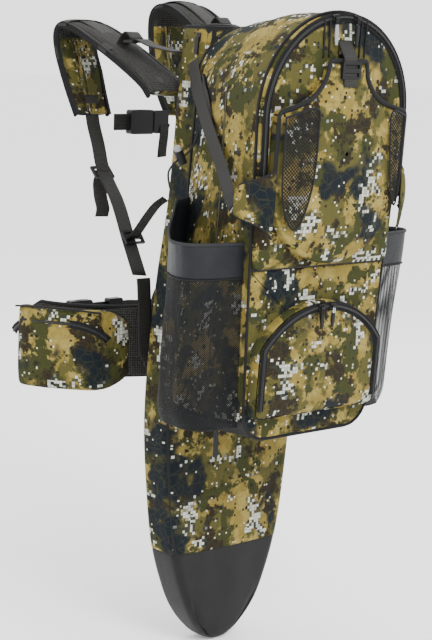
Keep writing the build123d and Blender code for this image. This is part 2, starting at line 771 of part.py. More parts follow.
def make_belt():
    middle = (belt_wing_low + belt_wing_high) / 2
    height = belt_wing_high - belt_wing_low
    wing = strip([(*belt_point(turn), middle) for turn in wing_turns()], height, wing_thickness, (0, 0, 1))
    both_sides("belt_wing", wing)

    pocket = prism(hip_pocket_plan(0), Plane.XY, hip_pocket_low, hip_pocket_high)
    hollow = prism(hip_pocket_plan(hip_pocket_wall), Plane.XY,
                   hip_pocket_low + hip_pocket_wall, hip_pocket_high - hip_pocket_wall)
    far = wing_thickness / 2 + hip_pocket_depth
    root, tip = belt_point(54, far), belt_point(84, far)
    run = Vector(tip[0] - root[0], tip[1] - root[1], 0)
    out = Vector(run.Y, -run.X, 0).normalized()
    if out.X > 0:
        out = out * -1
    slot_middle = Vector((root[0] + tip[0]) / 2, (root[1] + tip[1]) / 2, (hip_slot_low + hip_slot_high) / 2)
    face = Plane(origin=slot_middle, x_dir=run.normalized(), z_dir=out)
    slot_height = hip_slot_high - hip_slot_low
    slot = face * Box(run.length, slot_height, 4 * hip_pocket_wall)
    tape_seat = 0.6
    tape = face.offset(tape_seat) * Box(run.length + 8, slot_height + 8, 1) - slot
    both_sides("hip_pocket", pocket - hollow - slot - tape, tape)
    slider = face.offset(tape_seat + 1.5 + slider_thickness / 2) * (Pos(run.length / 2 - 8, 0, 0) * zip_slider())
    both_sides("hip_zip_slider", slider)
    print("hip slider slides along", show(-run.normalized()), "for", round(run.length - 20, 1))

    front_y = belt_buckle_y
    arc = [wing_end + (158 - wing_end) * step / 6 for step in range(7)]
    curve = [(*belt_point(turn), belt_webbing_middle) for turn in arc]
    left_end = [(x - socket_length, front_y, belt_webbing_middle) for x in (-18, 8)]
    right_run = [(-x, y, z) for x, y, z in curve]
    tunnel_y = front_y + tunnel_offset
    right_end = [(x, tunnel_y, belt_webbing_middle) for x in (75, belt_rest_gap + prong_length + 4)]
    save("belt_webbing_left", strip([*curve, *left_end], webbing_wide, webbing_thickness, (0, 0, 1)))
    save("belt_webbing_right", strip([*right_run[:-1], *right_end], webbing_wide, webbing_thickness, (0, 0, 1)))
    place = Pos(0, front_y, belt_webbing_middle)
    save("belt_buckle_socket", place * buckle_socket(webbing_wide))
    save("belt_buckle_plug", place * buckle_plug(webbing_wide, belt_rest_gap))


def make_base_pull():
    """The tab that opens the base compartment's zip, hanging under the bag."""
    grip = Plane(origin=(*base_pull_place, bag_base_height - 1), x_dir=(1, 0, 0), z_dir=(0, -1, 0)) * (
        Pos(0, pull_clearance - 2, 0) * zip_pull(base_pull_length + pull_clearance)
    )
    save("base_zip_pull", grip)


os.makedirs("parts", exist_ok=True)
make_scabbard()
make_bag()
make_lid()
make_front_pocket()
make_side_pockets()
make_drawcord()
make_back()
make_straps()
make_compression_straps()
make_sternum()
make_belt()
make_base_pull()
print(len(made), "nodes")
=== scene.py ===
"""Hunting backpack with a rifle scabbard: camera, cords, fabric, webbing and light over the CAD frame."""
from math import asin, cos, hypot, pi, radians, sin, sqrt

import bpy
import numpy as np
from mathutils import Matrix, Vector, noise


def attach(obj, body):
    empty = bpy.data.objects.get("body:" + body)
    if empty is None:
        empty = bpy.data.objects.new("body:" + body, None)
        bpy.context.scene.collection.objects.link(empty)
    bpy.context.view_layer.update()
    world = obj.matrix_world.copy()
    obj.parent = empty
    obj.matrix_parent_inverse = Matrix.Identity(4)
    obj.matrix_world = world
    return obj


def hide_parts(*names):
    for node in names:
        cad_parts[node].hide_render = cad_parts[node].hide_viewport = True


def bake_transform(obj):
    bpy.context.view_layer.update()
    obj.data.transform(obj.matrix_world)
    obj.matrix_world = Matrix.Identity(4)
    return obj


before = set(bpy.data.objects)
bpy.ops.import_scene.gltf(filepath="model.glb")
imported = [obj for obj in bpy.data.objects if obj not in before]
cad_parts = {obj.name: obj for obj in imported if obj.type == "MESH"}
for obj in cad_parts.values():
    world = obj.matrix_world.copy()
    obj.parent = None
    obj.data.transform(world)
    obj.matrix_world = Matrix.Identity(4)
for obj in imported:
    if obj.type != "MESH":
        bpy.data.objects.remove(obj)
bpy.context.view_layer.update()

MM = 0.001
X, Y, Z = (1, 0, 0), (0, 1, 0), (0, 0, 1)
SIDES = ((-1, "left"), (1, "right"))
SLOTS = {"camo": "camo_fabric", "boot": "coated_fabric", "coarse_net": "mesh", "fine_net": "mesh", "cord": "cord",
         "webbing": "webbing", "zip": "zip_coil", "teeth": "zip_coil"}


# Camera and stage ----------------------------------------------------------------------------------

def make_camera():
    azimuth, pitch, roll, distance = radians(-41.1), radians(9.6), radians(2.1), 2.5016
    right = Vector((cos(azimuth), sin(azimuth), 0))
    target = Vector((0, 0, 0.4805)) - right * 0.0088
    back = Vector((sin(azimuth) * cos(pitch), -cos(azimuth) * cos(pitch), sin(pitch)))
    up = back.cross(right)
    rolled = right * cos(roll) + up * sin(roll)
    up = up * cos(roll) - right * sin(roll)
    camera = bpy.data.objects.new("camera", bpy.data.cameras.new("camera"))
    bpy.context.collection.objects.link(camera)
    axes = Matrix((rolled, up, back)).transposed().to_4x4()
    camera.matrix_world = Matrix.Translation(target + back * distance) @ axes
    camera.data.sensor_fit = "VERTICAL"
    camera.data.sensor_height = 36
    camera.data.lens = 95.7
    bpy.context.scene.camera = camera


def make_stage():
    mesh = bpy.data.meshes.new("floor")
    size = 30.0
    verts = [(x, y, -0.004) for x, y in ((-size, -size), (size, -size), (size, size), (-size, size))]
    mesh.from_pydata(verts, [], [(0, 1, 2, 3)])
    mesh.materials.append(simple_material("floor_paper", (0.95, 0.95, 0.95), 0.9))
    floor = bpy.data.objects.new("floor", mesh)
    floor.rotation_euler = (0, 0, radians(-41))
    bpy.context.collection.objects.link(floor)
    world = bpy.data.worlds.new("studio")
    bpy.context.scene.world = world
    world.use_nodes = True
    world.node_tree.nodes["Background"].inputs["Color"].default_value = (1, 1, 1, 1)
    world.node_tree.nodes["Background"].inputs["Strength"].default_value = 2.2
    lights = [
        ("key_light", (-0.6, -2.4, 2.6), 1.1, 95),
        ("fill_light", (-2.8, -0.6, 1.2), 1.8, 12),
        ("rim_light", (2.2, 1.2, 2.2), 1.4, 20),
    ]
    for name, place, size, power in lights:
        data = bpy.data.lights.new(name, "AREA")
        data.size = size
        data.energy = power
        lamp = bpy.data.objects.new(name, data)
        lamp.location = place
        aim = Vector((0, -0.05, 0.5)) - Vector(place)
        lamp.rotation_euler = aim.to_track_quat("-Z", "Y").to_euler()
        bpy.context.collection.objects.link(lamp)


# Materials -----------------------------------------------------------------------------------------

class Fabric:
    """A material being made: its shader, and the nodes that feed it."""

    def __init__(self, name):
        self.material = bpy.data.materials.new(name)
        self.material.use_nodes = True
        self.tree = self.material.node_tree
        self.shader = self.tree.nodes["Principled BSDF"]
        self.fill(self.shader, {"Specular IOR Level": 0.18})
        self.place = None

    def fill(self, made, sockets):
        for key, value in sockets.items():
            if isinstance(value, bpy.types.NodeSocket):
                self.tree.links.new(value, made.inputs[key])
            else:
                made.inputs[key].default_value = value

    def node(self, kind, sockets=None, output=0, **settings):
        made = self.tree.nodes.new("ShaderNode" + kind)
        for key, value in settings.items():
            setattr(made, key, value)
        self.fill(made, sockets or {})
        return made.outputs[output]

    def on_cloth(self):
        """Places the pattern by the cloth's own coordinates."""
        self.place = self.node("Attribute", output="Vector", attribute_name="cloth")
        return self

    def math(self, operation, a, b=0.0):
        return self.node("Math", {0: a, 1: b}, operation=operation)

    def vector(self, operation, a, b=(0, 0, 0), scale=1.0, output=0):
        return self.node("VectorMath", {0: a, 1: b, 3: scale}, output, operation=operation)

    def part(self, vector, axis):
        return self.node("SeparateXYZ", {0: vector}, axis)

    def ramp(self, value, low, high):
        """0 below low, 1 above high, smooth between."""
        sockets = {"Value": value, "From Min": low, "From Max": high}
        return self.node("MapRange", sockets, interpolation_type="SMOOTHSTEP")

    def blend(self, share, *colours):
        a, b = [c if isinstance(c, bpy.types.NodeSocket) else (*c, 1) for c in colours]
        return self.node("Mix", {0: share, 6: a, 7: b}, 2, data_type="RGBA")

    def cloud(self, place, scale, seed, detail=2.0, rough=0.5):
        moved = self.vector("ADD", place, (seed, seed * 0.7, 0))
        sockets = {"Vector": moved, "Scale": scale, "Detail": detail, "Roughness": rough}
        return self.node("TexNoise", sockets, noise_dimensions="2D")

    def ripple(self, axis, pitch):
        return self.math("SINE", self.math("MULTIPLY", self.part(self.place, axis), 2 * pi / pitch))

    def bump(self, height, strength, distance):
        sockets = {"Height": height, "Strength": strength, "Distance": distance}
        self.fill(self.shader, {"Normal": self.node("Bump", sockets)})

    def weave(self, pitch, strength):
        height = self.math("MULTIPLY", self.ripple(0, pitch), self.ripple(1, pitch))
        wrinkle = self.cloud(self.place, 70.0, 3.1, 4.0, 0.6)
        height = self.math("ADD", self.math("MULTIPLY", height, 0.25), self.math("MULTIPLY", wrinkle, 2.4))
        self.bump(height, strength, 0.0014)

    def squares(self, size, seed):
        """Per-cell random value and how far each point is from its cell's middle, 0 to 0.5."""
        moved = self.vector("ADD", self.place, (seed, seed * 1.3, 0))
        scaled = self.vector("SCALE", moved, scale=1 / size)
        cell = self.vector("FLOOR", scaled)
        inside = self.vector("FRACTION", scaled)
        reach = [self.math("ABSOLUTE", self.math("SUBTRACT", self.part(inside, axis), 0.5)) for axis in (0, 1)]
        chance = self.node("TexWhiteNoise", {"Vector": cell}, noise_dimensions="2D")
        return cell, chance, self.math("MAXIMUM", *reach)

    def finish(self, colour, rough, metal=0.0, sheen=0.0):
        if not isinstance(colour, bpy.types.NodeSocket):
            colour = (*colour, 1)
        sockets = {"Base Color": colour, "Roughness": rough, "Metallic": metal, "Sheen Weight": sheen}
        self.fill(self.shader, sockets)
        return self.material


def simple_material(name, colour, rough, metal=0.0, grain=0.0, grain_scale=900.0):
    paint = Fabric(name)
    if grain:
        place = paint.node("TexCoord", output="Object")
        fine = paint.node("TexNoise", {"Vector": place, "Scale": grain_scale, "Detail": 2.0})
        paint.bump(fine, grain, 0.0006)
    return paint.finish(colour, rough, metal)


def camo_material():
    """A made-up digital print: soft earth patches, clusters of pale pixels and scattered small squares."""
    printed = Fabric("camo_fabric").on_cloth()
    sand, moss, olive = (0.245, 0.190, 0.050), (0.064, 0.057, 0.013), (0.026, 0.029, 0.006)
    brown, navy = (0.014, 0.010, 0.004), (0.0025, 0.006, 0.009)
    pale, grey = (0.50, 0.50, 0.44), (0.20, 0.21, 0.18)
    patches = [
        # cloud scale, seed, detail, roughness, where the patch starts and is full, colour
        (34, 1.7, 4, 0.5, 0.40, 0.62, sand),
        (15, 4.2, 5, 0.6, 0.48, 0.54, moss),
        (19, 9.4, 5, 0.62, 0.53, 0.57, olive),
        (17, 14.8, 5, 0.65, 0.55, 0.60, brown),
        (10, 23.3, 3, 0.5, 0.565, 0.64, navy),
    ]
    colour = (0.175, 0.128, 0.026)
    for scale, seed, detail, rough, low, high, tone in patches:
        share = printed.ramp(printed.cloud(printed.place, scale, seed, detail, rough), low, high)
        colour = printed.blend(share, colour, tone)

    sockets = {"Vector": printed.place, "Scale": 75.0}
    crack = printed.node("TexVoronoi", sockets, feature="DISTANCE_TO_EDGE")
    line = printed.math("MULTIPLY", printed.math("SUBTRACT", 1.0, printed.ramp(crack, 0.0, 0.06)), 0.35)
    colour = printed.blend(line, colour, (0.045, 0.040, 0.012))

    def square(chance, reach, low, high, edge, gone):
        inside = printed.math("SUBTRACT", 1.0, printed.ramp(reach, edge, gone))
        return printed.math("MULTIPLY", printed.ramp(chance, low, high), inside)
    cell, chance, reach = printed.squares(0.0046, 0.31)
    cluster = printed.cloud(cell, 0.075, 31.0, 4, 0.7)
    shade = printed.math("MULTIPLY", printed.ramp(cluster, 0.58, 0.595), 0.75)
    colour = printed.blend(shade, colour, (0.018, 0.022, 0.016))
    tiles = printed.math("MULTIPLY", printed.ramp(cluster, 0.60, 0.61), square(chance, reach, 0.30, 0.32, 0.43, 0.48))
    colour = printed.blend(tiles, colour, printed.blend(chance, grey, pale))
    dots = [
        (0.0058, 7.7, 0.945, (0.010, 0.009, 0.006)),
        (0.0086, 2.9, 0.965, (0.007, 0.008, 0.008)),
        (0.0044, 5.3, 0.965, (0.45, 0.43, 0.34)),
    ]
    for size, seed, least, tone in dots:
        _, chance, reach = printed.squares(size, seed)
        colour = printed.blend(square(chance, reach, least, least + 0.005, 0.26, 0.34), colour, tone)
    printed.weave(0.0011, 0.55)
    return printed.finish(colour, 0.88)


def woven_material(name, colour, rough=0.8, pitch=0.0016, strength=0.5, vary=0.25, sheen=0.1):
    cloth = Fabric(name).on_cloth()
    soft = cloth.ramp(cloth.cloud(cloth.place, 26, 5.0, 4), 0.35, 0.65)
    darker, lighter = [tuple(c * (1 + change) for c in colour) for change in (-vary, vary)]
    cloth.weave(pitch, strength)
    return cloth.finish(cloth.blend(soft, darker, lighter), rough, sheen=sheen)


def ribbed_material(name, colour, edge, pitch, axis=0, rough=0.65):
    """Webbing or a zip's coil: ridges across one direction of the cloth, with a painted highlight that makes their tops
    a little lighter.
    """
    tape = Fabric(name).on_cloth()
    cross = tape.math("MULTIPLY", tape.ripple(1 - axis, pitch * 1.7), 0.4)
    height = tape.math("ADD", tape.ripple(axis, pitch), cross)
    tape.bump(height, 0.6, 0.0005)
    # The edge colour is a painted highlight on the ridge tops, blended in by the ridge height.
    return tape.finish(tape.blend(tape.ramp(height, -1.0, 1.2), colour, edge), rough)


def net_material(name, colour, pitch, hole):
    """Open mesh: round holes in staggered rows that let light through."""
    net = Fabric(name).on_cloth()
    sockets = {"Vector": net.place, "Rotation": (0, 0, radians(45)), "Scale": (1 / pitch, 1 / pitch, 1)}
    inside = net.vector("FRACTION", net.node("Mapping", sockets))
    middle = net.vector("DISTANCE", inside, (0.5, 0.5, 0), output="Value")
    solid = net.ramp(middle, hole - 0.06, hole + 0.06)
    clear = net.node("BsdfTransparent")
    mixed = net.node("MixShader", {0: solid, 1: clear, 2: net.shader.outputs[0]})
    net.bump(solid, 0.5, 0.0006)
    net.fill(net.tree.nodes["Material Output"], {"Surface": mixed})
    return net.finish(colour, 0.7)


def air_mesh_material():
    """Grey spacer mesh: small holes in staggered rows over a paler knit, their dark colour painted shade inside the
    holes.
    """
    knit = Fabric("air_mesh").on_cloth()
    sockets = {"Vector": knit.place, "Scale": 290.0, "Randomness": 0.25}
    hole = knit.ramp(knit.node("TexVoronoi", sockets, "Distance"), 0.25, 0.5)
    knit.bump(hole, 0.7, 0.0012)
    # The near-black where hole is low is painted shade in the knit's holes.
    return knit.finish(knit.blend(hole, (0.005, 0.005, 0.005), (0.030, 0.029, 0.026)), 0.85)


# Mesh helpers --------------------------------------------------------------------------------------

def wobble(point, scale, seed):
    return noise.noise(Vector(point) * scale + Vector((seed, seed * 0.61, -seed)))


def lengths(points, axis):
    """Distance along one axis of a grid of points, counted from its middle."""
    steps = np.linalg.norm(np.diff(points, axis=axis), axis=2)
    run = np.insert(np.cumsum(steps, axis=axis), 0, 0, axis=axis)
    middle = np.take(run, [run.shape[axis] // 2], axis=axis)
    return run - middle


def grid(name, rows, materials, closed=False, thick=0.0, smooth=1, seed=0.0, pick=None, cap=False, flip=False,
         cloth=None):
    """A sheet through rows of points, in millimetres, with the cloth coordinates that the fabrics need."""
    points = np.array([[tuple(p) for p in row] for row in rows], float) * MM
    count, width = points.shape[:2]
    if cloth is None:
        place = np.stack([lengths(points, 1), lengths(points, 0)], axis=2)
    else:
        place = np.array(cloth, float) * MM
    faces = []
    for r in range(count - 1):
        for c in range(width if closed else width - 1):
            d = (c + 1) % width
            quad = (r * width + c, r * width + d, (r + 1) * width + d, (r + 1) * width + c)
            faces.append(quad[::-1] if flip else quad)
    if cap:
        first, last = tuple(range(width)), tuple(range((count - 1) * width, count * width))
        faces += [first if flip else first[::-1], last[::-1] if flip else last]
    mesh = bpy.data.meshes.new(name)
    mesh.from_pydata(points.reshape(-1, 3).tolist(), [], faces)
    place = place.reshape(-1, 2)
    values = np.column_stack([place[:, 0] + seed, place[:, 1] + seed * 1.7, np.zeros(len(place))])
    mesh.attributes.new("cloth", "FLOAT_VECTOR", "POINT").data.foreach_set("vector", values.astype(np.float32).ravel())
    materials = materials if isinstance(materials, (list, tuple)) else [materials]
    for material in materials:
        mesh.materials.append(looks[material])
    for index, polygon in enumerate(mesh.polygons):
        polygon.use_smooth = True
        if pick:
            polygon.material_index = pick(polygon.center / MM, index // (width if closed else width - 1))
    made = bpy.data.objects.new(name, mesh)
    bpy.context.collection.objects.link(made)
    look_of[made.name] = materials[0]
    if thick:
        wall = made.modifiers.new("wall", "SOLIDIFY")
        wall.thickness = thick * MM
        wall.offset = -1
    if smooth:
        finer(made)
    return made


def finer(piece):
    soft = piece.modifiers.new("finer", "SUBSURF")
    soft.levels = soft.render_levels = 1


def curve_through(points, steps):
    """Points along a smooth line through the given ones (Catmull-Rom)."""
    points = [Vector(p) for p in points]
    ends = [points[0] * 2 - points[1], *points, points[-1] * 2 - points[-2]]
    out = []
    for a, b, c, d in zip(ends, ends[1:], ends[2:], ends[3:]):
        for step in range(steps):
            t = step / steps
            square, cube = 2 * a - 5 * b + 4 * c - d, 3 * b - a - 3 * c + d
            out.append(0.5 * (2 * b + (c - a) * t + square * t**2 + cube * t**3))
    return out + [points[-1]]


def frames(path, across=None, up=None, closed=False):
    """Side and normal directions along a path, from a fixed width direction or a fixed normal."""
    out = []
    last = len(path) - 1
    for index in range(len(path)):
        ahead = path[(index + 1) % len(path)] if closed else path[min(index + 1, last)]
        before = path[index - 1] if closed else path[max(index - 1, 0)]
        forward = (ahead - before).normalized()
        if up is not None:
            side = Vector(up).cross(forward).normalized()
            out.append((side, forward.cross(side)))
        else:
            wide = Vector(across)
            side = (wide - forward * wide.dot(forward)).normalized()
            out.append((side, side.cross(forward)))
    return out


def sweep(name, path, section, material, across=None, up=None, seed=0.0, smooth=0, shape=None, closed=False,
          pick=None):
    """A closed section, in millimetres along the side and the normal, carried along a path."""
    rows = []
    for index, (point, (side, normal)) in enumerate(zip(path, frames(path, across, up, closed))):
        wide, high = shape(index / (len(path) - 1)) if shape else (1, 1)
        rows.append([point + side * a * wide + normal * b * high for a, b in section])
    if closed:
        rows.append(rows[0])
    return grid(name, rows, material, closed=True, cap=not closed, smooth=smooth, seed=seed, pick=pick, flip=True)


def band(width, thickness, crown=0.0):
    """A strap's section: flat, with round edges and an optional crown."""
    half, t = width / 2, thickness / 2
    xs = [-1, -0.6, 0, 0.6, 1]
    top = [(x * (half - t), t + crown * (1 - x * x)) for x in xs]
    bottom = [(x * (half - t), -t) for x in xs[::-1]]
    return [(-half, 0), *top, (half, 0), *bottom]


def circle(radius, count=8):
    return [(radius * cos(2 * pi * k / count), radius * sin(2 * pi * k / count)) for k in range(count)]


def signed(value, power):
    return abs(value) ** power * (1 if value > 0 else -1)


def cushion(width, thickness, count=28, power=0.55):
    """A padded section: flat-ish faces that round over to thin edges."""
    out = []
    for k in range(count):
        turn = -pi / 2 + 2 * pi * k / count
        c, s = cos(turn), sin(turn)
        out.append((width / 2 * signed(c, power), thickness / 2 * signed(s, power + 0.15)))
    return out


def sided(side, points):
    """Points given for the right, on the side asked for: -1 is left."""
    return [(side * x, *rest) for x, *rest in points]


def ringed(rows):
    """Each row with its first point again at its end."""
    return [row + [row[0]] for row in rows]


def spread(outline, centre, shares):
    """An outline drawn in towards a centre by each share."""
    return [[tuple(c + (v - c) * share for v, c in zip(point, centre)) for point in outline] for share in shares]


# Shapes shared with the CAD model, in millimetres ---------------------------------------------------

LEAN = radians(3.2)
BASE, BAG_BACK, BAG_FRONT = 350, -27.5, -184
FRONT_UP = Vector((0, -sin(LEAN), cos(LEAN)))
FRONT_OUT = Vector((0, -cos(LEAN), -sin(LEAN)))
ARCH, ARCH_RADIUS, FRONT_LOW, CORNER = 446, 134, 118, 40
LID_LOW, LID_FRONT, POUCH_FRONT, FLAP_FRONT = 239, 9.3, 25.3, 20.3
COIL = band(4.6, 2.6, 0.6)


def on_front(x, height, out=0.0):
    return Vector((x, BAG_FRONT, BASE)) + FRONT_UP * height + FRONT_OUT * out


def table(value, entries):
    """Smooth interpolation in a table of (value, result)."""
    xs = [e[0] for e in entries]
    ys = [e[1] for e in entries]
    slopes = [(b - a) / (d - c) for a, b, c, d in zip(ys, ys[1:], xs, xs[1:])]
    tangents = [slopes[0], *[(p + q) / 2 if p * q > 0 else 0 for p, q in zip(slopes, slopes[1:])], slopes[-1]]
    value = min(max(value, xs[0]), xs[-1])
    k = max(i for i in range(len(xs) - 1) if xs[i] <= value or i == 0)
    h = xs[k + 1] - xs[k]
    t = (value - xs[k]) / h
    return (ys[k] * (2 * t**3 - 3 * t**2 + 1) + ys[k + 1] * (3 * t**2 - 2 * t**3)
            + h * (tangents[k] * (t**3 - 2 * t**2 + t) + tangents[k + 1] * (t**3 - t**2)))


def front_half(height):
    return FRONT_LOW + (ARCH_RADIUS - FRONT_LOW) * (height - CORNER) / (ARCH - CORNER)


def arc_between(a, b, rise, steps):
    """Points on the flat arc from a to b whose middle stands 'rise' off the chord, to the left of a-b."""
    a, b = Vector((*a, 0)), Vector((*b, 0))
    half = (b - a).length / 2
    radius = (half**2 + rise**2) / (2 * abs(rise))
    middle = (a + b) / 2
    normal = Vector((-(b - a).y, (b - a).x, 0)).normalized() * (1 if rise > 0 else -1)
    centre = middle + normal * (abs(rise) - radius)
    turn = asin(min(1, half / radius))
    if abs(rise) > half:
        turn = pi - turn
    along = (b - a).normalized()
    out = []
    for k in range(steps + 1):
        t = -turn + 2 * turn * k / steps
        p = centre + along * (radius * sin(t)) + normal * (radius * cos(t))
        out.append((p.x, p.y))
    return out


def straight(a, b, steps):
    return [(a[0] + (b[0] - a[0]) * k / steps, a[1] + (b[1] - a[1]) * k / steps) for k in range(steps + 1)]


def chain(*runs):
    out = list(runs[0])
    for run in runs[1:]:
        out += run[1:]
    return out


def around(right):
    """A whole outline from its right half, which runs from the bottom middle up to the top middle."""
    return right + [(-x, y) for x, y in right[-2:0:-1]]


def bag_section(low_half, high_half, high, peak):
    corner = [(low_half - CORNER + CORNER * sin(a), CORNER - CORNER * cos(a)) for a in np.linspace(0, pi / 2, 6)]
    top = arc_between((high_half, high), (-high_half, high), -(peak - high), 32)
    return around(chain(straight((0, 0), corner[0], 7), corner, straight(corner[-1], (high_half, high), 26), top[:17]))


def arch_outline(low, inset):
    radius = ARCH_RADIUS - inset
    foot = front_half(low) - inset
    arch = [(radius * cos(a), ARCH + radius * sin(a)) for a in np.linspace(0, pi / 2, 18)]
    return around(chain(straight((0, low), (foot, low), 8), straight((foot, low), (radius, ARCH), 14), arch))


def pouch_side(inset=0.0):
    scoop = curve_through([(34 - inset, 518, 0), (40 - inset, 492, 0), (66 - inset, 466, 0), (118 - inset, 450, 0)], 5)
    return [(p.x, p.y) for p in scoop]


def pouch_bottom(inset):
    low = 244 + inset
    return arc_between((118 - inset, 336), (inset - 118, 336), 336 - low, 30)


def pouch_outline(inset):
    bottom = pouch_bottom(inset)[15::-1]
    side = straight((118 - inset, 336), (118 - inset, 450), 8)
    return around(chain(bottom, side, pouch_side(inset)[::-1], straight((34 - inset, 518), (0, 518), 3)))


def pocket_outline(inset):
    half = 112 - inset
    arch = arc_between((half, 130), (-half, 130), -(188 - inset - 130), 32)[:17]
    return around(chain(straight((0, 35), (half, 35), 7), straight((half, 35), (half, 130), 8), arch))


def panel(name, outline, centre, back, face, bulge, material, seed, rings=9, edge=3.0, wrinkle=1.0):
    """A padded panel on the bag's front, swollen by bulge(x, height) and turned back at its edge."""
    rows = []
    for ring in range(rings + 1):
        share = (ring / rings) ** 0.8 if ring else 0.02
        row = []
        for x, h in outline:
            px, ph = centre[0] + (x - centre[0]) * share, centre[1] + (h - centre[1]) * share
            soft = (1 - share**4)
            out = face + bulge(px, ph) * soft - edge * share**10
            out += wrinkle * soft * 2.2 * wobble((px / 60, ph / 45, 0), 1.0, seed * 9)
            row.append((px, ph, out))
        rows.append(row)
    for depth in (edge * 1.6, (face - back) * 0.6, face - back):
        rows.append([(x, h, face - depth) for x, h in outline])
    cloth = [[(x + (p / 2 if k > rings else 0), h) for x, h, p in row] for k, row in enumerate(rows)]
    for row in rows + cloth:
        row.append(row[0])
    points = [[on_front(x, h, out) for x, h, out in row] for row in rows]
    return grid(name, points, material, seed=seed, cloth=cloth, flip=True)


def resample(path, step):
    """The same path in even steps."""
    path = [Vector(p) for p in path]
    runs = [0.0]
    for a, b in zip(path, path[1:]):
        runs.append(runs[-1] + (b - a).length)
    count = max(2, int(runs[-1] / step))
    out, k = [], 0
    for index in range(count + 1):
        want = runs[-1] * index / count
        while k < len(runs) - 2 and runs[k + 1] < want:
            k += 1
        t = (want - runs[k]) / max(runs[k + 1] - runs[k], 1e-6)
        out.append(path[k].lerp(path[k + 1], min(1, t)))
    return out


def zip_run(name, path, out, body, tape_width, *nodes):
    """A zip on the bag's front: a flat tape and a raised coil."""
    flat = resample([(x, h, 0) for x, h in path], 3)
    for part, section, look, lift in (("tape", band(tape_width, 1.0), "zip", 0), ("coil", COIL, "teeth", 0.9)):
        run = [on_front(p.x, p.y, out + lift) for p in flat]
        fixed(sweep(f"{name}_{part}", run, section, look, up=FRONT_OUT), *nodes, body=body)
        nodes = ()


def pull(name, pivot, length, body, material, cord, bend, node):
    """A pull: a cord loop from the slider and a ribbed grip hanging from it."""
    top, down, out = Vector(pivot), -FRONT_UP, FRONT_OUT
    run = [top + out * 1.2 + down * 1.5, top + out * 2.0 + down * 5, top + out * 1.6 + down * 10]
    left, right = [[p + Vector((side, 0, 0)) for p in run] for side in (-1.4, 1.4)]
    path = left[::-1] + [top + out * 1.8 + down * 0.2] + right
    loop = sweep(f"{name}_cord", curve_through(path, 3), circle(0.9, 6), cord, across=(0, 1, 0.1))
    path = [top + out * 1.4 + down * (9 + (length - 9) * k / 14) + Vector((bend * k / 14, 0, 0)) for k in range(15)]

    def ribs(t):
        ridge = 1 + (0.16 if int(t * 14) % 2 and 0.2 < t < 0.85 else 0)
        return ridge * (0.75 + 0.25 * sin(pi * min(1, t * 1.15))), ridge
    grip = sweep(f"{name}_grip", path, band(7, 3.2, 0.4), material, across=X, shape=ribs)
    fixed(loop, body=body, slot="moulded_plastic")
    fixed(grip, node, body=body, slot="moulded_plastic")


# Pieces --------------------------------------------------------------------------------------------

def fixed(piece, *nodes, body="pack", slot=None):
    """Puts a piece on a body, in place of the named CAD nodes."""
    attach(piece, body)
    dress(piece, *nodes, slot=slot)


def bent(piece, *nodes, body, start, end, fill=None):
    """A piece in place of the named CAD nodes, with its placement baked into its mesh."""
    dress(piece, *nodes)
    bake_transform(piece)


def dress(piece, *nodes, slot=None):
    if nodes:
        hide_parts(*nodes)
    slot or SLOTS.get(look_of[piece.name], "black_fabric")


def webbing(name, points, width=25, thickness=2, across=X, steps=6):
    """Flat webbing through a few points."""
    return sweep(name, curve_through(points, steps), band(width, thickness), "webbing", across=across)


def cords():
    """The drawcords, through the same points as in the CAD model."""
    route = [(-150, -62, 668), (-156, -52, 697), (-143, -44, 716), (-101, -46, 738), (-98, -48, 764)]
    for sign, side in SIDES:
        points = sided(-sign, route)
        data = bpy.data.curves.new(f"drawcord_{side}", "CURVE")
        data.dimensions = "3D"
        line = data.splines.new("NURBS")
        line.points.add(len(points) - 1)
        for spot, point in zip(line.points, points):
            spot.co = (*(c * MM for c in point), 1)
        line.order_u = 3
        line.use_endpoint_u = True
        line.resolution_u = 12
        data.bevel_depth = 1.5 * MM
        data.bevel_resolution = 4
        data.use_fill_caps = True
        data.materials.append(looks["cord"])
        piece = bpy.data.objects.new(f"drawcord_{side}", data)
        bpy.context.collection.objects.link(piece)
        fixed(piece, f"pocket_drawcord_{side}", slot="cord")
        [c * MM for c in points[0]]


EDGE = [(0, 3), (3, 18), (14, 34), (46, 60), (94, 82), (144, 98), (246, 113), (350, 120), (450, 115),
        (560, 103), (610, 95), (658, 88), (780, 78), (902, 68)]


def scabbard_ring(z, swell=0.0, grow=0.0):
    """A rounded section of the scabbard at a height, from the middle of its back all the way round."""
    half = table(z, EDGE) + grow
    depth = 26 * min(1.0, 0.45 + 0.55 * sqrt(min(1, z / 60))) + grow
    radius = min(9.0, half * 0.6)
    turns = [pi / 2 * k / 6 for k in range(7)]
    right = [(half * k / 9 * 0.985, depth) for k in range(9)]
    right += [(half - radius + radius * sin(turn), depth - radius + radius * cos(turn)) for turn in turns]
    right += [(half, (depth - radius) * (1 - k / 2)) for k in range(1, 4)]
    right += [(half - radius + radius * cos(turn), -(depth - radius) - radius * sin(turn)) for turn in turns[1:]]
    right += [(half * (1 - k / 9) * 0.985, -depth) for k in range(1, 10)]
    out = []
    for x, y in around(right):
        soft = swell * max(0.0, 1 - (x / half) ** 2)
        push = 1 if y > 0 else -1
        ripple = 1.8 * wobble((x / 46, z / 60, push), 1.0, 5.1) * (1 if swell else 0)
        out.append(Vector((x, y + push * (soft + ripple * soft / max(swell, 0.1)), z)))
    return out


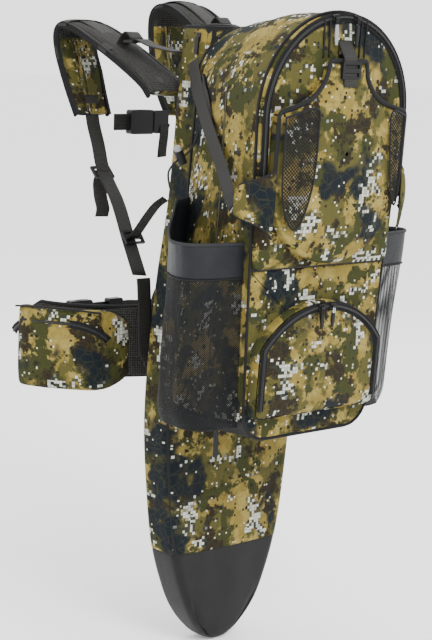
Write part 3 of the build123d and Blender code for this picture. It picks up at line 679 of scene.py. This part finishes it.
def make_scabbard():
    def swell(z):
        return 2.0 if z > 350 else 4.5
    rings = [scabbard_ring(z, swell(z)) for z in np.linspace(144, 902, 58)]
    fixed(grid("scabbard_sleeve_fabric", rings, "camo", closed=True, thick=4, seed=0.13), "scabbard_sleeve")
    low = [scabbard_ring(z, 1.0, 0.6) for z in (0.0, 1.5, 4, 9, 16, 26, 38, 52, 68, 86, 104, 122, 138, 148)]
    fixed(grid("scabbard_boot_shell", low, "boot", closed=True, thick=3, seed=0.4), "scabbard_boot")
    nose = [[Vector((p.x * s, p.y * s, p.z)) for p in low[0]] for s in (0.02, 0.5, 1.0)]
    fixed(grid("scabbard_boot_sole", nose, "boot", closed=True, seed=0.5))
    seam = scabbard_ring(147, 1.0, 1.4)
    seam = resample(seam + [seam[0]], 6)[:-1]
    fixed(sweep("boot_seam_piping", seam, circle(1.6), "black", across=Z, closed=True))
    nodes = ["scabbard_trim"]
    for side, name in SIDES:
        for face, front in ((-1, "front"), (1, "back")):
            rows = []
            for z in np.linspace(146, 903, 84):
                half = table(z, EDGE)
                d = 27.3 + swell(z) * 0.12
                wave = 0.5 * wobble((z / 30, side, face), 1.0, 3.0)
                section = [(half - 15 + wave, d + 0.4), (half - 14.6 + wave, d + 1.8), (half - 5, d + 2.0),
                           (half + 1.2, d - 1.0), (half + 2.0, d - 7.0), (half + 0.8, d - 8.0)]
                rows.append([(side * x, face * y, z) for x, y in section])
            fixed(grid(f"scabbard_binding_{name}_{front}", rows, "binding", seed=0.02 * side + 0.01 * face,
                       flip=side * face < 0), *nodes)
            nodes = []
    for face, front in ((-1, "front"), (1, "back")):
        for side, name in SIDES:
            line = [Vector((side * (table(z, EDGE) - 16.5), face * 28.4, z)) for z in np.linspace(160, 900, 120)]
            fixed(sweep(f"scabbard_topstitch_{name}_{front}", line, circle(0.45, 5), "thread", across=X))
    run = [Vector((-table(z, EDGE) - 0.6, -11, z)) for z in np.linspace(655, 902, 60)]
    fixed(sweep("scabbard_zip_tape_cloth", run, band(13, 1.0), "zip", across=Y), slot="black_fabric")
    fixed(sweep("scabbard_zip_coil", [p + Vector((-0.9, 0, 0)) for p in run], COIL, "teeth", across=Y))
    rim = scabbard_ring(902, 1.5, 0.6)
    rim = resample(rim + [rim[0]], 5)[:-1]
    fixed(sweep("scabbard_mouth_hem", rim, band(9, 2.6), "binding", across=Z, closed=True))


def bag_point(back, front, share):
    """A point on the bag's wall: between its back section and its front one, puffed and folded."""
    start = Vector((back[0], BAG_BACK, BASE + back[1]))
    point = start.lerp(on_front(front[0], front[1]), share)
    z = point.z - BASE
    side = 1 if point.x > 0 else -1
    out = Vector((side * min(1, abs(front[0]) / 90), 0, 0))
    if front[1] > ARCH:
        out = Vector((front[0], 0, front[1] - ARCH)).normalized()
    if front[1] < CORNER:
        out = Vector((side * max(0, abs(front[0]) - 78) / 40, 0, -0.5))
    middle = sin(pi * min(1, max(0, share)))
    folds = 3.2 * wobble((share * 5.0 + z / 260, z / 170, side * 3), 1.0, 2.3)
    folds += 1.6 * wobble((share * 14.0, z / 60, side * 3), 1.0, 7.9)
    return point + out * (7.0 * middle**0.7 + folds * middle)


def make_bag():
    back = bag_section(118, 84, 500, 553)
    front = bag_section(118, 134, 446, 580)
    shares = [0, 0.03, 0.08, *np.linspace(0.14, 0.9, 14), 0.95, 0.985, 1.0]
    rows = ringed([[bag_point(b, f, s) for b, f in zip(back, front)] for s in shares])

    def tray(centre, strip):
        return 1 if centre.z < 374 else 0
    walls = grid("bag_side_walls", rows, ["camo", "boot", "black"], thick=3, seed=0.71, pick=tray)
    fixed(walls, "main_bag_shell", "bag_base")
    rows = [[Vector((x, BAG_BACK + 0.4, BASE + h)) for x, h in row]
            for row in spread(back + [back[0]], (0, 280), (0.02, 0.25, 0.5, 0.75, 1.0))]
    fixed(grid("bag_back_wall", rows, "black", thick=2, smooth=0, seed=0.2), slot="camo_fabric")
    rim = []
    for inset in (0, 4, 10, 16):
        rim.append([on_front(x, h, 0.0 if inset else -0.4) for x, h in arch_outline(252 - (16 - inset), inset)])
    fixed(grid("bag_mouth_rim", ringed(rim), "black", thick=2.5, seed=0.9, smooth=0), slot="camo_fabric")

    low = chain([(-front_half(236), 236)], sided(-1, bag_half_low())[::-1], bag_half_low()[1:])
    low += straight(low[-1], low[0], 24)[1:-1]
    shares = (0.02, 0.3, 0.6, 0.8, 0.93, 1.0)
    cloth = spread(low + [low[0]], (0, 130), shares)
    rows = [[on_front(x, h, 2.5 * (1 - share**3)) for x, h in row] for share, row in zip(shares, cloth)]
    fixed(grid("bag_front_wall", rows, "camo", seed=1.3, thick=2, flip=True, cloth=cloth))

    for name, share, gap in (("front", 0.995, 1.2), ("rear", 0.02, 1.0)):
        line = [bag_point(b, f, share) + (Vector((f[0], 0, f[1] - 280)).normalized() * gap)
                for b, f in zip(back, front)]
        line = resample(line + [line[0]], 5)[:-1]
        fixed(sweep(f"bag_{name}_piping", line, circle(1.9), "binding", across=Y, closed=True))
    for side, name in SIDES:
        line = [bag_point(b, f, 0.56) + Vector((side * 0.6, 0, 0)) for b, f in zip(back, front)
                if b[0] * side >= 0 and 30 < f[1] < 470]
        line = resample(sorted(line, key=lambda p: p.z), 6)
        fixed(sweep(f"bag_side_seam_{name}", line, circle(1.0, 6), "thread", across=Y), slot="camo_fabric")


def bag_half_low():
    """The bag's front outline below the lid, from the bottom middle to the hinge line on the right."""
    corner = [(FRONT_LOW - CORNER + CORNER * sin(a), CORNER - CORNER * cos(a)) for a in np.linspace(0, pi / 2, 6)]
    return chain(straight((0, 0), corner[0], 6), corner, straight(corner[-1], (front_half(236), 236), 14))


def lid_swell(x, h):
    return 5.0 * max(0.0, 1 - (x / 134) ** 4) * max(0.0, 1 - ((h - 420) / 190) ** 4)


def pouch_swell(x, h):
    """How far the bib's pouch stands out beyond its flat face."""
    return 9.0 * max(0.0, 1 - (x / 122) ** 2) ** 0.6 * max(0.0, 1 - ((h - 372) / 150) ** 2) ** 0.6


def pouch_face(x, h):
    return POUCH_FRONT + pouch_swell(x, h)


def make_lid():
    lid = panel("lid_front_panel", arch_outline(LID_LOW, 0.5), (0, 410), 0.6, LID_FRONT, lid_swell, "camo", 2.1,
                wrinkle=0.6)
    fixed(lid, "lid_panel", body="lid")
    right = [p for p in arch_outline(330, 5.5) if p[0] >= 0 and p[1] > 331]
    zip_run("main_zip", right[:-1] + sided(-1, right)[::-1], LID_FRONT + 0.6, "lid", 13, "main_zip_coil")

    pouch = panel("bib_pouch_fabric", pouch_outline(0), (0, 396), LID_FRONT, POUCH_FRONT, pouch_swell, "camo", 3.7,
                  rings=12, edge=4)
    fixed(pouch, "bib_pouch", body="lid")
    half = [(x, h) for x, h in pouch_outline(-0.5) if h > 326 and x >= 0]
    for side, name in SIDES:
        run = [on_front(p.x, p.y, POUCH_FRONT - 1.5) for p in resample([(side * x, h, 0) for x, h in half], 5)]
        fixed(sweep(f"bib_binding_{name}", run, band(8, 2.6, 0.8), "binding", up=FRONT_OUT, smooth=1), body="lid")
        corners = [(-112, 444), (-62, 456), (-56, 430), (-60, 350), (-82, 296), (-108, 336)]
        if side > 0:
            corners = [(112, 446), (84, 452), (82, 420), (92, 350), (104, 322), (110, 350)]
        loop = [(p.x, p.y) for p in curve_through([(x, h, 0) for x, h in corners + [corners[0]]], 5)[:-1]]
        middle = (sum(x for x, h in loop) / len(loop), sum(h for x, h in loop) / len(loop))
        loop.append(loop[0])
        shares = (0.02, 0.35, 0.7, 1.0)
        cloth = spread(loop, middle, shares)
        rows = [[on_front(x, h, pouch_face(x, h) + 2.2 + 1.5 * (1 - share)) for x, h in row]
                for share, row in zip(shares, cloth)]
        fixed(grid(f"bib_mesh_{name}", rows, "coarse_net", cloth=cloth, flip=True),
              *(["bib_mesh"] if side < 0 else []), body="lid")
        rim = resample([on_front(x, h, pouch_face(x, h) + 2.4) for x, h in loop], 4)[:-1]
        fixed(sweep(f"bib_mesh_edge_{name}", rim, band(3.4, 1.6, 0.4), "binding", up=FRONT_OUT, closed=True),
              body="lid")
        for start in (30, 40):
            line = [(start, 575 - start * 0.12, 0), (start - 1, 548, 0), (start - 2, 522, 0)]
            run = [on_front(p.x, p.y, LID_FRONT + lid_swell(p.x, p.y) * 0.55 + 1.4)
                   for p in curve_through(sided(side, line), 6)]
            fixed(sweep(f"lid_piping_{name}_{start}", run, circle(1.3), "binding", up=FRONT_OUT), body="lid")
    strap = ((544, LID_FRONT + 2), (532, POUCH_FRONT - 6), (522, POUCH_FRONT + 1), (506, POUCH_FRONT + 3),
             (484, POUCH_FRONT + 5))
    fixed(webbing("bib_strap_webbing", [on_front(0, h, out) for h, out in strap]), "bib_strap", body="lid")

    path = [(118, 25), (126, 22), (134, 15), (146, 6), (154, -4), (155.5, -9)]
    for side, name in SIDES:
        rows, count = [], 14
        for k in range(count + 1):
            t = k / count
            x, out = [table(t, [(i / 5, p[axis]) for i, p in enumerate(path)]) for axis in (0, 1)]
            half = 46 - 30 * t**0.8
            mid = 330 + 10 * (t - t * t)
            rows.append([on_front(side * (x + 3 * (1 - u * u) * sin(pi * t)), mid + half * u,
                                  out + 3.0 * (1 - u * u) * (1 - t)) for u in [j / 8 * 2 - 1 for j in range(9)]])
        wing = grid(f"bib_wing_{name}", rows, "camo", thick=2.6, seed=0.33 + side * 0.1, flip=side < 0)
        fixed(wing, *(["bib_wings"] if side < 0 else []), body="lid")
        for edge, label in ((0, "low"), (-1, "high")):
            line = [row[edge] + FRONT_OUT * 0.8 for row in rows]
            fixed(sweep(f"bib_wing_binding_{name}_{label}", line, circle(1.9), "binding", up=FRONT_OUT), body="lid")


def make_front_pocket():
    outline = pocket_outline(0)
    rows = []
    for depth, grow in ((-0.5, 1.5), (2, 0.6), (6, 1.6), (11, 1.6), (15, 0.4), (16, 0)):
        rows.append([on_front(x * (1 + grow / 112), h + (grow if h > 100 else 0), depth) for x, h in outline])
    fixed(grid("front_pocket_wall", ringed(rows), "camo", thick=2, seed=2.7, flip=True), "front_pocket_gusset")

    def swell(x, h):
        return 8.0 * max(0.0, 1 - (x / 112) ** 2) ** 0.5 * max(0.0, 1 - ((h - 100) / 92) ** 2) ** 0.5
    flap = panel("front_pocket_flap_fabric", outline, (0, 105), 16.4, FLAP_FRONT, swell, "camo", 5.9)
    fixed(flap, "front_pocket_flap", body="pocket_flap")
    right = [p for p in pocket_outline(4.0) if p[1] > 46 and p[0] >= 0]
    left = sided(-1, right)[::-1]
    path = right + (left[1:] if right[-1][0] == 0 else left)
    zip_run("pocket_zip", path, FLAP_FRONT + 0.4, "pocket_flap", 12, "front_pocket_coil")


SIDE_LOW = [(-104, -30), (-170, -60), (-190, -118), (-172, -166), (-104, -176)]
SIDE_HIGH = [(-96, -32), (-162, -76), (-206, -128), (-205, -168), (-112, -190)]


def pocket_rim(y):
    return 622 + 46 * min(1, max(0, (y + 110) / 48)) ** 1.2


def side_point(t, z, side, gather=0.0):
    share = (z - 366) / 302
    p = side_curves[0][t].lerp(side_curves[1][t], share)
    out = Vector((p.x + 118, p.y + 110, 0)).normalized()
    fold = wobble((t / 5.5, z / 210, side * 2), 1.0, 6.6) * 4.5
    fold += wobble((t / 2.6, z / 90, side * 2), 1.0, 1.9) * 2.0
    middle = sin(pi * t / (len(side_curves[0]) - 1)) ** 0.5
    p = p + out * (fold * middle + gather)
    return Vector((p.x * -side, p.y, z))


side_curves = [curve_through([(*q, 0) for q in line], 9) for line in (SIDE_LOW, SIDE_HIGH)]


def make_side_pockets():
    last = len(side_curves[0]) - 1
    for side, name in SIDES:
        nodes = [["side_mesh_pockets"], ["side_pocket_collars"]] if side < 0 else [[], []]
        rows = []
        for k in range(23):
            z = 367 + (577 - 367) * k / 22
            pinch = -7 * max(0, 1 - (z - 367) / 26) ** 2
            rows.append([side_point(t, z, side, pinch * (1 if 0 < t < last else 0)) for t in range(last + 1)])
        fixed(grid(f"side_pocket_mesh_{name}", rows, "fine_net", seed=0.2, flip=side > 0), *nodes[0])
        floor = [[Vector(((side * 106) + (p.x - side * 106) * share, p.y, 368)) for p in rows[0]]
                 for share in (0.0, 0.5, 1.0)]
        fixed(grid(f"side_pocket_floor_{name}", floor, "boot", seed=0.9, smooth=0, thick=1.5, flip=side < 0))
        rims = [pocket_rim(side_curves[1][t].y) for t in range(last + 1)]
        rows = [[side_point(t, 575 + (top - 575) * k / 8, side, 0.8) for t, top in enumerate(rims)] for k in range(9)]
        fixed(grid(f"side_pocket_collar_{name}", rows, "collar", thick=1.8, seed=0.6, flip=side > 0), *nodes[1])
        fixed(sweep(f"side_pocket_hem_{name}", resample(rows[-1], 5), band(5, 2.6, 0.5), "hem", across=Z))
        seam = resample([p + Vector((side * 0.8, 0, 0)) for p in rows[0]], 5)
        fixed(sweep(f"side_pocket_seam_{name}", seam, circle(1.2), "binding", across=Z))
        for t, label in ((0, "rear"), (last, "front")):
            line = [side_point(t, z, side, 0.5) + Vector((side * 1.0, 0, 0)) for z in np.linspace(368, 600, 30)]
            fixed(sweep(f"side_pocket_edge_{name}_{label}", line, band(8, 2), "binding", across=Y))


LEFT_PAD = [(56, 824), (112, 852), (168, 876), (215, 894), (248, 900), (262, 888), (258, 862), (243, 830),
            (228, 798), (212, 768)]
RIGHT_PAD = [(56, 832), (112, 872), (160, 908), (205, 930), (236, 932), (252, 916), (252, 880), (243, 840),
             (230, 800), (212, 768)]


def quilt(piece, depth, seed):
    """Small dents and swells all over a padded piece."""
    for vertex in piece.data.vertices:
        p = vertex.co
        push = wobble(p, 32, seed) * depth + wobble(p, 85, seed + 4) * depth * 0.4
        vertex.co += vertex.normal * (push * MM)


def settle(piece, pressure, last=16):
    """Fills a closed cover with padding: it swells a little, settles and wrinkles at its seams."""
    scene = bpy.context.scene
    for other in bpy.context.selected_objects:
        other.select_set(False)
    bpy.context.view_layer.objects.active = piece
    cloth = piece.modifiers.new("padding", "CLOTH")
    settings = cloth.settings
    settings.quality = 4
    settings.mass = 0.3
    settings.use_pressure = True
    settings.uniform_pressure_force = pressure
    settings.tension_stiffness = settings.compression_stiffness = 30
    settings.bending_stiffness = 4
    settings.shrink_min = 0.0
    settings.effector_weights.gravity = 0
    cloth.point_cache.frame_start, cloth.point_cache.frame_end = 1, last
    for frame_number in range(1, last + 1):
        scene.frame_set(frame_number)
    ready = piece.evaluated_get(bpy.context.evaluated_depsgraph_get())
    moved = np.empty(len(ready.data.vertices) * 3)
    ready.data.vertices.foreach_get("co", moved)
    piece.modifiers.remove(cloth)
    scene.frame_set(1)
    start = np.empty_like(moved)
    piece.data.vertices.foreach_get("co", start)
    step = (moved - start).reshape(-1, 3)
    far = np.linalg.norm(step, axis=1, keepdims=True)
    limit = 4.0 * MM
    step *= np.minimum(1.0, limit / np.maximum(far, 1e-9))
    piece.data.vertices.foreach_set("co", start + step.ravel())
    piece.data.update()


def make_strap(side, name, pad_path, rise):
    body = f"strap_{name}"
    path = curve_through([(side * 87, y, z) for y, z in [(34, 806), *pad_path]], 7)
    sides = frames(path, X)

    def shape(t):
        return 1 - 0.18 * max(0, t - 0.8) * 5 * 0.8, 0.9 + 0.1 * sin(pi * t)

    def face(centre, strip):
        return 0 if strip > 44 else 1
    pad = sweep(f"shoulder_pad_cover_{name}", path, cushion(70, 12), ["camo", "air_mesh"], across=X,
                seed=0.05 + side * 0.21, shape=shape, pick=face)
    quilt(pad, 0.7, 3.3)
    settle(pad, 2.0)
    finer(pad)
    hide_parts(f"shoulder_pad_{name}")
    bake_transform(pad)
    for edge in (-1, 1):
        line = [p + s * (edge * 34.4 * shape(i / (len(path) - 1))[0]) for i, (p, (s, n)) in enumerate(zip(path, sides))]
        label = "inner" if edge * side < 0 else "outer"
        trim = sweep(f"shoulder_binding_{name}_{label}", line, band(4, 9, 0.5), "binding", across=X)
        bent(trim, body=body, start=34, end=80)
    spine = [p + n * 7.6 for p, (s, n) in zip(path, sides)][4:-2]
    bent(sweep(f"shoulder_web_{name}", spine, band(25, 1.8), "webbing", across=X), body=body, start=34, end=80)
    for index in (18, 34, 50):
        p, (s, n) = path[index], sides[index]
        forward = (path[index + 1] - path[index - 1]).normalized()
        loop = [p + s * (36.5 * cos(a)) + n * (7.9 * sin(a) + 0.4) for a in np.linspace(0, 2 * pi, 33)[:-1]]
        fixed(sweep(f"shoulder_band_{name}_{index}", loop, band(22, 1.6), "webbing", across=forward, closed=True),
              body=body)

    tip_y, tip_z = pad_path[-1]
    lower = [(87, tip_y + 5, tip_z + 30), (87, tip_y, tip_z - 7), (89, 194, 725), (90, 178, 688), (96, 134, 645),
             (106, 92, 594), (115, 53, 548)]
    fold = [(90, 176, 690), (90.5, 186, 672), (91, 183, 650), (91, 176, 632), (91.5, 178, 619)]
    lifter = [(85, 128, 878 + rise), (85, 104, 883 + rise), (84, 75, 875 + 0.7 * rise), (81, 40, 870), (79, 22, 868)]
    tail = [(85, 112, 884 + rise), (86, 126, 893 + rise), (87, 140, 880 + rise), (88, 146, 861 + rise)]
    steady = [(90, 30, 660), (98, 40, 650), (99, 58, 632), (101, 84, 602), (101.5, 96, 594)]
    fixed(webbing(f"strap_lower_webbing_{name}", sided(side, lower)), f"strap_webbing_{name}", body=body)
    fixed(webbing(f"strap_tail_{name}", sided(side, fold)), body=body)
    bent(webbing(f"load_lifter_{name}", sided(side, lifter)), body=body, start=24, end=104)
    fixed(webbing(f"load_lifter_tail_{name}", sided(side, tail), 24, 1.8), body=body)
    bent(webbing(f"side_adjuster_webbing_{name}", sided(side, steady), 20, 1.8), body=body, start=32, end=84)


def make_harness():
    make_strap(-1, "left", LEFT_PAD, 0)
    make_strap(1, "right", RIGHT_PAD, 26)
    run = [(110, 30, 425), (112, 38.5, 440), (113.5, 40, 490), (115, 42, 532), (115, 44, 545)]
    tab = [(112, 37.5, 432), (90, 40, 430), (74, 41, 430)]
    for side, name in SIDES:
        fixed(webbing(f"strap_anchor_webbing_{name}", sided(side, run)), *(["strap_anchors"] if side < 0 else []))
        tab_run = curve_through(sided(side, tab), 4)
        fixed(sweep(f"strap_anchor_tab_{name}", tab_run, band(34, 3), "black", across=Z))

    left = [(-52, 205, 758), (-40, 205, 758), (-28, 205, 758), (-17, 205, 758)]
    right = [(27, 201, 758), (38, 201, 758), (46, 201.5, 759), (50.4, 202.5, 760)]
    tail = [(44, 202, 757), (40, 197, 752), (38, 195.5, 735), (37, 197, 716), (38, 199, 704)]
    fixed(webbing("sternum_webbing", left, across=Z), "sternum_strap", body="strap_left")
    fixed(webbing("sternum_webbing_right", right, across=Z, steps=5), body="strap_left")
    fixed(webbing("sternum_tail", tail, 18, 1.8), body="strap_left")


def make_back():
    rows, rim = [], []
    for z in np.linspace(398, 866, 46):
        half = 84 - 24 * (z - 396) / 472
        pods = 1.6 * abs(sin((z - 396) / 472 * pi * 5)) ** 0.4
        end = max(0.02, min(1, (z - 398) / 10, (866 - z) / 10)) ** 0.5
        row = []
        for u in [k / 24 * 2 - 1 for k in range(25)]:
            channel = 3.2 * max(0, 1 - abs(u) / 0.2)
            edge = max(0, min(1, (1 - abs(u)) / 0.09)) ** 0.5
            row.append((half * u, 27 + (15.4 - channel + pods) * edge * end, z))
        rows.append(row)
        rim.append(Vector((half, 27.5, z)))
    fixed(grid("back_panel_cover", rows, "air_mesh", seed=0.3, flip=True), "back_panel", slot="mesh")
    rim += [Vector((-p.x, p.y, p.z)) for p in rim[::-1]]
    rim = resample(rim + [rim[0]], 8)[:-1]
    fixed(sweep("back_panel_binding", rim, circle(2.6), "binding", across=Y, closed=True))
    lumbar = panel_block("lumbar_cushion", (0, 50, 469), (96, 8.2, 71), "air_mesh", 0.4)
    quilt(lumbar, 0.9, 8.2)
    settle(lumbar, 2.0)
    finer(lumbar)
    fixed(lumbar, "lumbar_pad")
    half = [(50, 34, 862), (50, 34, 884), (44, 34, 898), (26, 34, 905)]
    loop = curve_through([*sided(-1, half), (0, 34, 906.5), *half[::-1]], 6)
    fixed(sweep("haul_loop_webbing", loop, band(14, 3, 0.4), "webbing", across=Y), "haul_loop")
    sleeve = [p + Vector((0, 0, 0.2)) for p in loop[18:-18]]
    fixed(sweep("haul_loop_grip", sleeve, cushion(17, 6, 16), "binding", across=Y), slot="webbing")


def panel_block(name, centre, half, material, seed):
    """A cushion with rounded corners: centre and half sizes along X, Y and Z."""
    rows, count = [], 44
    for k in range(-8, 9):
        v = sin(pi / 2 * k / 8)
        scale = max(0.03, (1 - abs(v) ** 5)) ** 0.35
        row = []
        for j in range(count):
            turn = 2 * pi * j / count
            x, z = signed(cos(turn), 0.42), signed(sin(turn), 0.42)
            row.append((centre[0] + half[0] * x * scale, centre[1] + half[1] * v, centre[2] + half[2] * z * scale))
        rows.append(row)
    cloth = [[(p[0], p[2]) for p in row] for row in rows]
    return grid(name, rows, material, closed=True, cap=True, smooth=0, seed=seed, cloth=cloth)


def belt_point(angle, offset=0.0):
    turn = radians(angle)
    x, y = -205 * sin(turn), -140 * cos(turn)
    nx, ny = x / 205**2, y / 140**2
    size = hypot(nx, ny)
    return x + offset * nx / size, 185 + y + offset * ny / size


def make_hip_pocket(side, name, at, body):
    rows, count = [], 30
    top, low = 499, 379
    angles = [35.5, 36, 38, 41, 46, *np.linspace(52, 84, 10), 88, 90.5, 92, 92.5]
    for angle in angles:
        body_share = min(1, max(0, (angle - 35.5) / 17)) ** 0.6 * min(1, max(0, (93 - angle) / 7)) ** 0.6
        front = 8.5 + 32 * body_share
        grow = 0.55 + 0.45 * min(1, body_share * 1.3)
        mid, half = (top + low) / 2, (top - low) / 2 * grow
        row = []
        for k in range(count):
            turn = 2 * pi * k / count
            c, s = cos(turn), sin(turn)
            out = 7.4 + (front - 7.4) * (0.5 + 0.5 * abs(c) ** 0.45 * (1 if c > 0 else -1))
            z = mid + half * abs(s) ** 0.5 * (1 if s > 0 else -1)
            out += 1.8 * wobble((angle / 9, z / 26, side), 1.0, 4.4) * (1 if c > 0 else 0) * body_share
            row.append(at(angle, out, z))
        rows.append(row[count // 2:] + row[:count // 2])
    pocket = grid(f"hip_pocket_fabric_{name}", rows, "camo", closed=True, cap=True, smooth=0, seed=0.45 + 0.2 * side,
                  flip=side > 0)
    settle(pocket, 2.5)
    finer(pocket)
    fixed(pocket, f"hip_pocket_{name}", body=body)
    arc = [at(a, 39.5 - 7 * abs((a - 68) / 24) ** 4, 479 - 26 * abs((a - 68) / 24) ** 3)
           for a in np.linspace(45, 91, 44)]
    out = Vector((side * 0.86, -0.48, 0.12))
    fixed(sweep(f"hip_zip_tape_{name}", arc, band(12, 1.2), "zip", up=out), body=body)
    arc = [p + out * 1.0 for p in arc]
    fixed(sweep(f"hip_zip_coil_{name}", arc, band(4.4, 2.4, 0.5), "teeth", up=out), body=body)
    piping = [at(a, 38.5, 499.5 - 6 * abs((a - 68) / 24) ** 2) for a in np.linspace(48, 88, 30)]
    fixed(sweep(f"hip_pocket_piping_{name}", piping, circle(1.4), "binding", up=out), body=body)


def make_belt():
    def taper(t):
        return 1.0 - 0.35 * max(0, t - 0.82) / 0.18, 1.0 - 0.4 * max(0, t - 0.85) / 0.15

    def face(centre, strip):
        return 1 if strip > 44 else 0
    for side, name in SIDES:
        body = f"belt_{name}"

        def at(angle, offset, z):
            x, y = belt_point(angle, offset)
            return Vector((x * -side, y, z))
        path = [at(angle, 0, 449) for angle in np.linspace(24, 97, 34)]
        wing = sweep(f"belt_wing_cover_{name}", path, cushion(102, 14), ["air_mesh", "black"], across=Z, shape=taper,
                     seed=0.2, pick=face)
        quilt(wing, 0.8, 6.4)
        settle(wing, 2.0)
        finer(wing)
        bent(wing, f"belt_wing_{name}", body=body, start=52, end=74, fill=0.8)
        for edge, label in ((-1, "low"), (1, "high")):
            line = [p + Vector((0, 0, edge * 50.5 * taper(i / 33)[0])) for i, p in enumerate(path)]
            trim = sweep(f"belt_wing_binding_{name}_{label}", line, circle(3.2), "binding", across=Z)
            bent(trim, body=body, start=52, end=74)
        make_hip_pocket(side, name, at, body)
        ring = [at(angle, 0, 435) for angle in np.linspace(90, 158, 26)]
        if side < 0:
            ring += [Vector((x, 323, 435)) for x in (-62, -44, -36)]
        else:
            ring = ring[:-1] + [Vector((x, 319, 435)) for x in (75, 50, 36)]
        run = resample(curve_through(ring, 3), 6)
        web = sweep(f"belt_webbing_strap_{name}", run, band(50, 2.2), "webbing", across=Z)
        fixed(web, f"belt_webbing_{name}", body=body)
        root = [at(angle, 8.2, 449) for angle in np.linspace(27, 37, 8)]
        fixed(sweep(f"belt_root_webbing_{name}", root, band(60, 2.2), "webbing", across=Z), body=body)


def make_compression():
    across = (0, 0.62, -0.78)
    run = [(91, -24, 858), (95, -31, 842), (107, -62, 800), (124, -105, 758), (140, -150, 716), (151, -176, 690),
           (156, -192, 676)]
    tail = [(100, -50, 822), (106, -66, 806), (111, -78, 786), (113, -84, 770)]
    for side, name in SIDES:
        fixed(webbing(f"compression_webbing_{name}", sided(side, run), across=across),
              *(["compression_straps"] if side < 0 else []))
        fixed(webbing(f"compression_tail_{name}", sided(side, tail), across=across))


def make_hardware():
    """Pulls in place of the plain CAD ones, and finishes for the CAD hardware that shows."""
    pulls = [
        ("main", "left", (-20.03, -230.12, 922.26), 36, "grey_plastic", "cord", 1.5),
        ("main", "right", (20.03, -230.12, 922.26), 36, "plastic", "cord", -1.0),
        ("pocket", "left", (-10.49, -219.04, 532.42), 28, "plastic", "cord", 0.8),
        ("pocket", "right", (10.49, -219.04, 532.42), 28, "plastic", "steel", -0.8),
    ]
    for zipper, side, pivot, length, grip, cord, bend in pulls:
        node = f"main_zip_pull_{side}" if zipper == "main" else f"front_pocket_pull_{side}"
        pull(f"{zipper}_pull_grip_{side}", pivot, length, f"{zipper}_pull_{side}", grip, cord, bend, node)
    pairs = {
        "plastic": ["strap_adjusters", "cord_lock_barrel"],
        "grey_plastic": ["cord_lock_button"],
        "slider": ["main_zip_slider", "front_pocket_slider", "hip_zip_slider"],
    }
    finishes = {finish: [f"{name}_{side}" for name in names for _, side in SIDES] for finish, names in pairs.items()}
    finishes["plastic"] += ["bib_ladder_lock", "compression_buckles", "sternum_buckle_socket", "sternum_buckle_plug",
                            "belt_buckle_socket", "belt_buckle_plug", "base_zip_pull"]
    finishes["slider"].append("scabbard_zip_slider")
    finishes.update(inner_plastic=["frame_sheet"], aluminium=["frame_stays"])
    for finish, names in finishes.items():
        for part in [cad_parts[name] for name in names]:
            part.data.materials.clear()
            part.data.materials.append(looks[finish])
            if finish in pairs:
                edge = part.modifiers.new("edge", "BEVEL")
                edge.width = 0.5 * MM
                edge.segments = 2
                edge.limit_method = "ANGLE"


def make_looks():
    black = (0.006, 0.006, 0.0065)
    return {
        "camo": camo_material(),
        "boot": woven_material("boot_coated_nylon", (0.005, 0.005, 0.0054), 0.5, 0.0009, 0.22, 0.15, 0.0),
        "collar": woven_material("collar_coated_nylon", (0.007, 0.008, 0.010), 0.4, 0.0012, 0.3, 0.2, 0.0),
        "black": woven_material("black_lining", black, 0.8),
        # For binding, hem, webbing and teeth the second, lighter colour is a painted highlight on the ridge tops.
        "binding": ribbed_material("binding_tape", (0.004, 0.004, 0.0045), (0.012, 0.012, 0.0125), 0.0013),
        "hem": ribbed_material("hem_tape", (0.010, 0.011, 0.012), (0.030, 0.031, 0.034), 0.0013),
        "webbing": ribbed_material("webbing", (0.008, 0.008, 0.0072), (0.028, 0.027, 0.024), 0.0021),
        "thread": simple_material("seam_thread", (0.05, 0.047, 0.03), 0.9),
        "zip": woven_material("zip_tape", (0.0045, 0.0045, 0.005), 0.85, 0.0010, 0.4, 0.25, 0.0),
        "teeth": ribbed_material("zip_coil", (0.004, 0.004, 0.0045), (0.03, 0.03, 0.03), 0.0019, axis=1, rough=0.35),
        "air_mesh": air_mesh_material(),
        "coarse_net": net_material("bib_net", (0.005, 0.005, 0.005), 0.0036, 0.36),
        "fine_net": net_material("side_pocket_net", (0.005, 0.0055, 0.006), 0.0021, 0.30),
        "cord": simple_material("braided_cord", (0.014, 0.014, 0.014), 0.75, grain=0.6, grain_scale=700),
        "plastic": simple_material("black_acetal", (0.007, 0.007, 0.0075), 0.38, grain=0.15, grain_scale=1200),
        "grey_plastic": simple_material("grey_acetal", (0.22, 0.22, 0.225), 0.42, grain=0.15, grain_scale=1200),
        "inner_plastic": simple_material("frame_polyethylene", (0.04, 0.04, 0.04), 0.5, grain=0.2),
        "slider": simple_material("painted_zinc", (0.02, 0.02, 0.02), 0.32, metal=0.6, grain=0.1),
        "steel": simple_material("steel_wire", (0.55, 0.55, 0.56), 0.28, metal=1.0, grain=0.1),
        "aluminium": simple_material("stay_aluminium", (0.62, 0.62, 0.64), 0.35, metal=1.0, grain=0.2),
    }


make_camera()
make_stage()
look_of = {}
looks = make_looks()
cords()
make_scabbard()
make_bag()
make_lid()
make_front_pocket()
make_side_pockets()
make_back()
make_harness()
make_belt()
make_compression()
make_hardware()
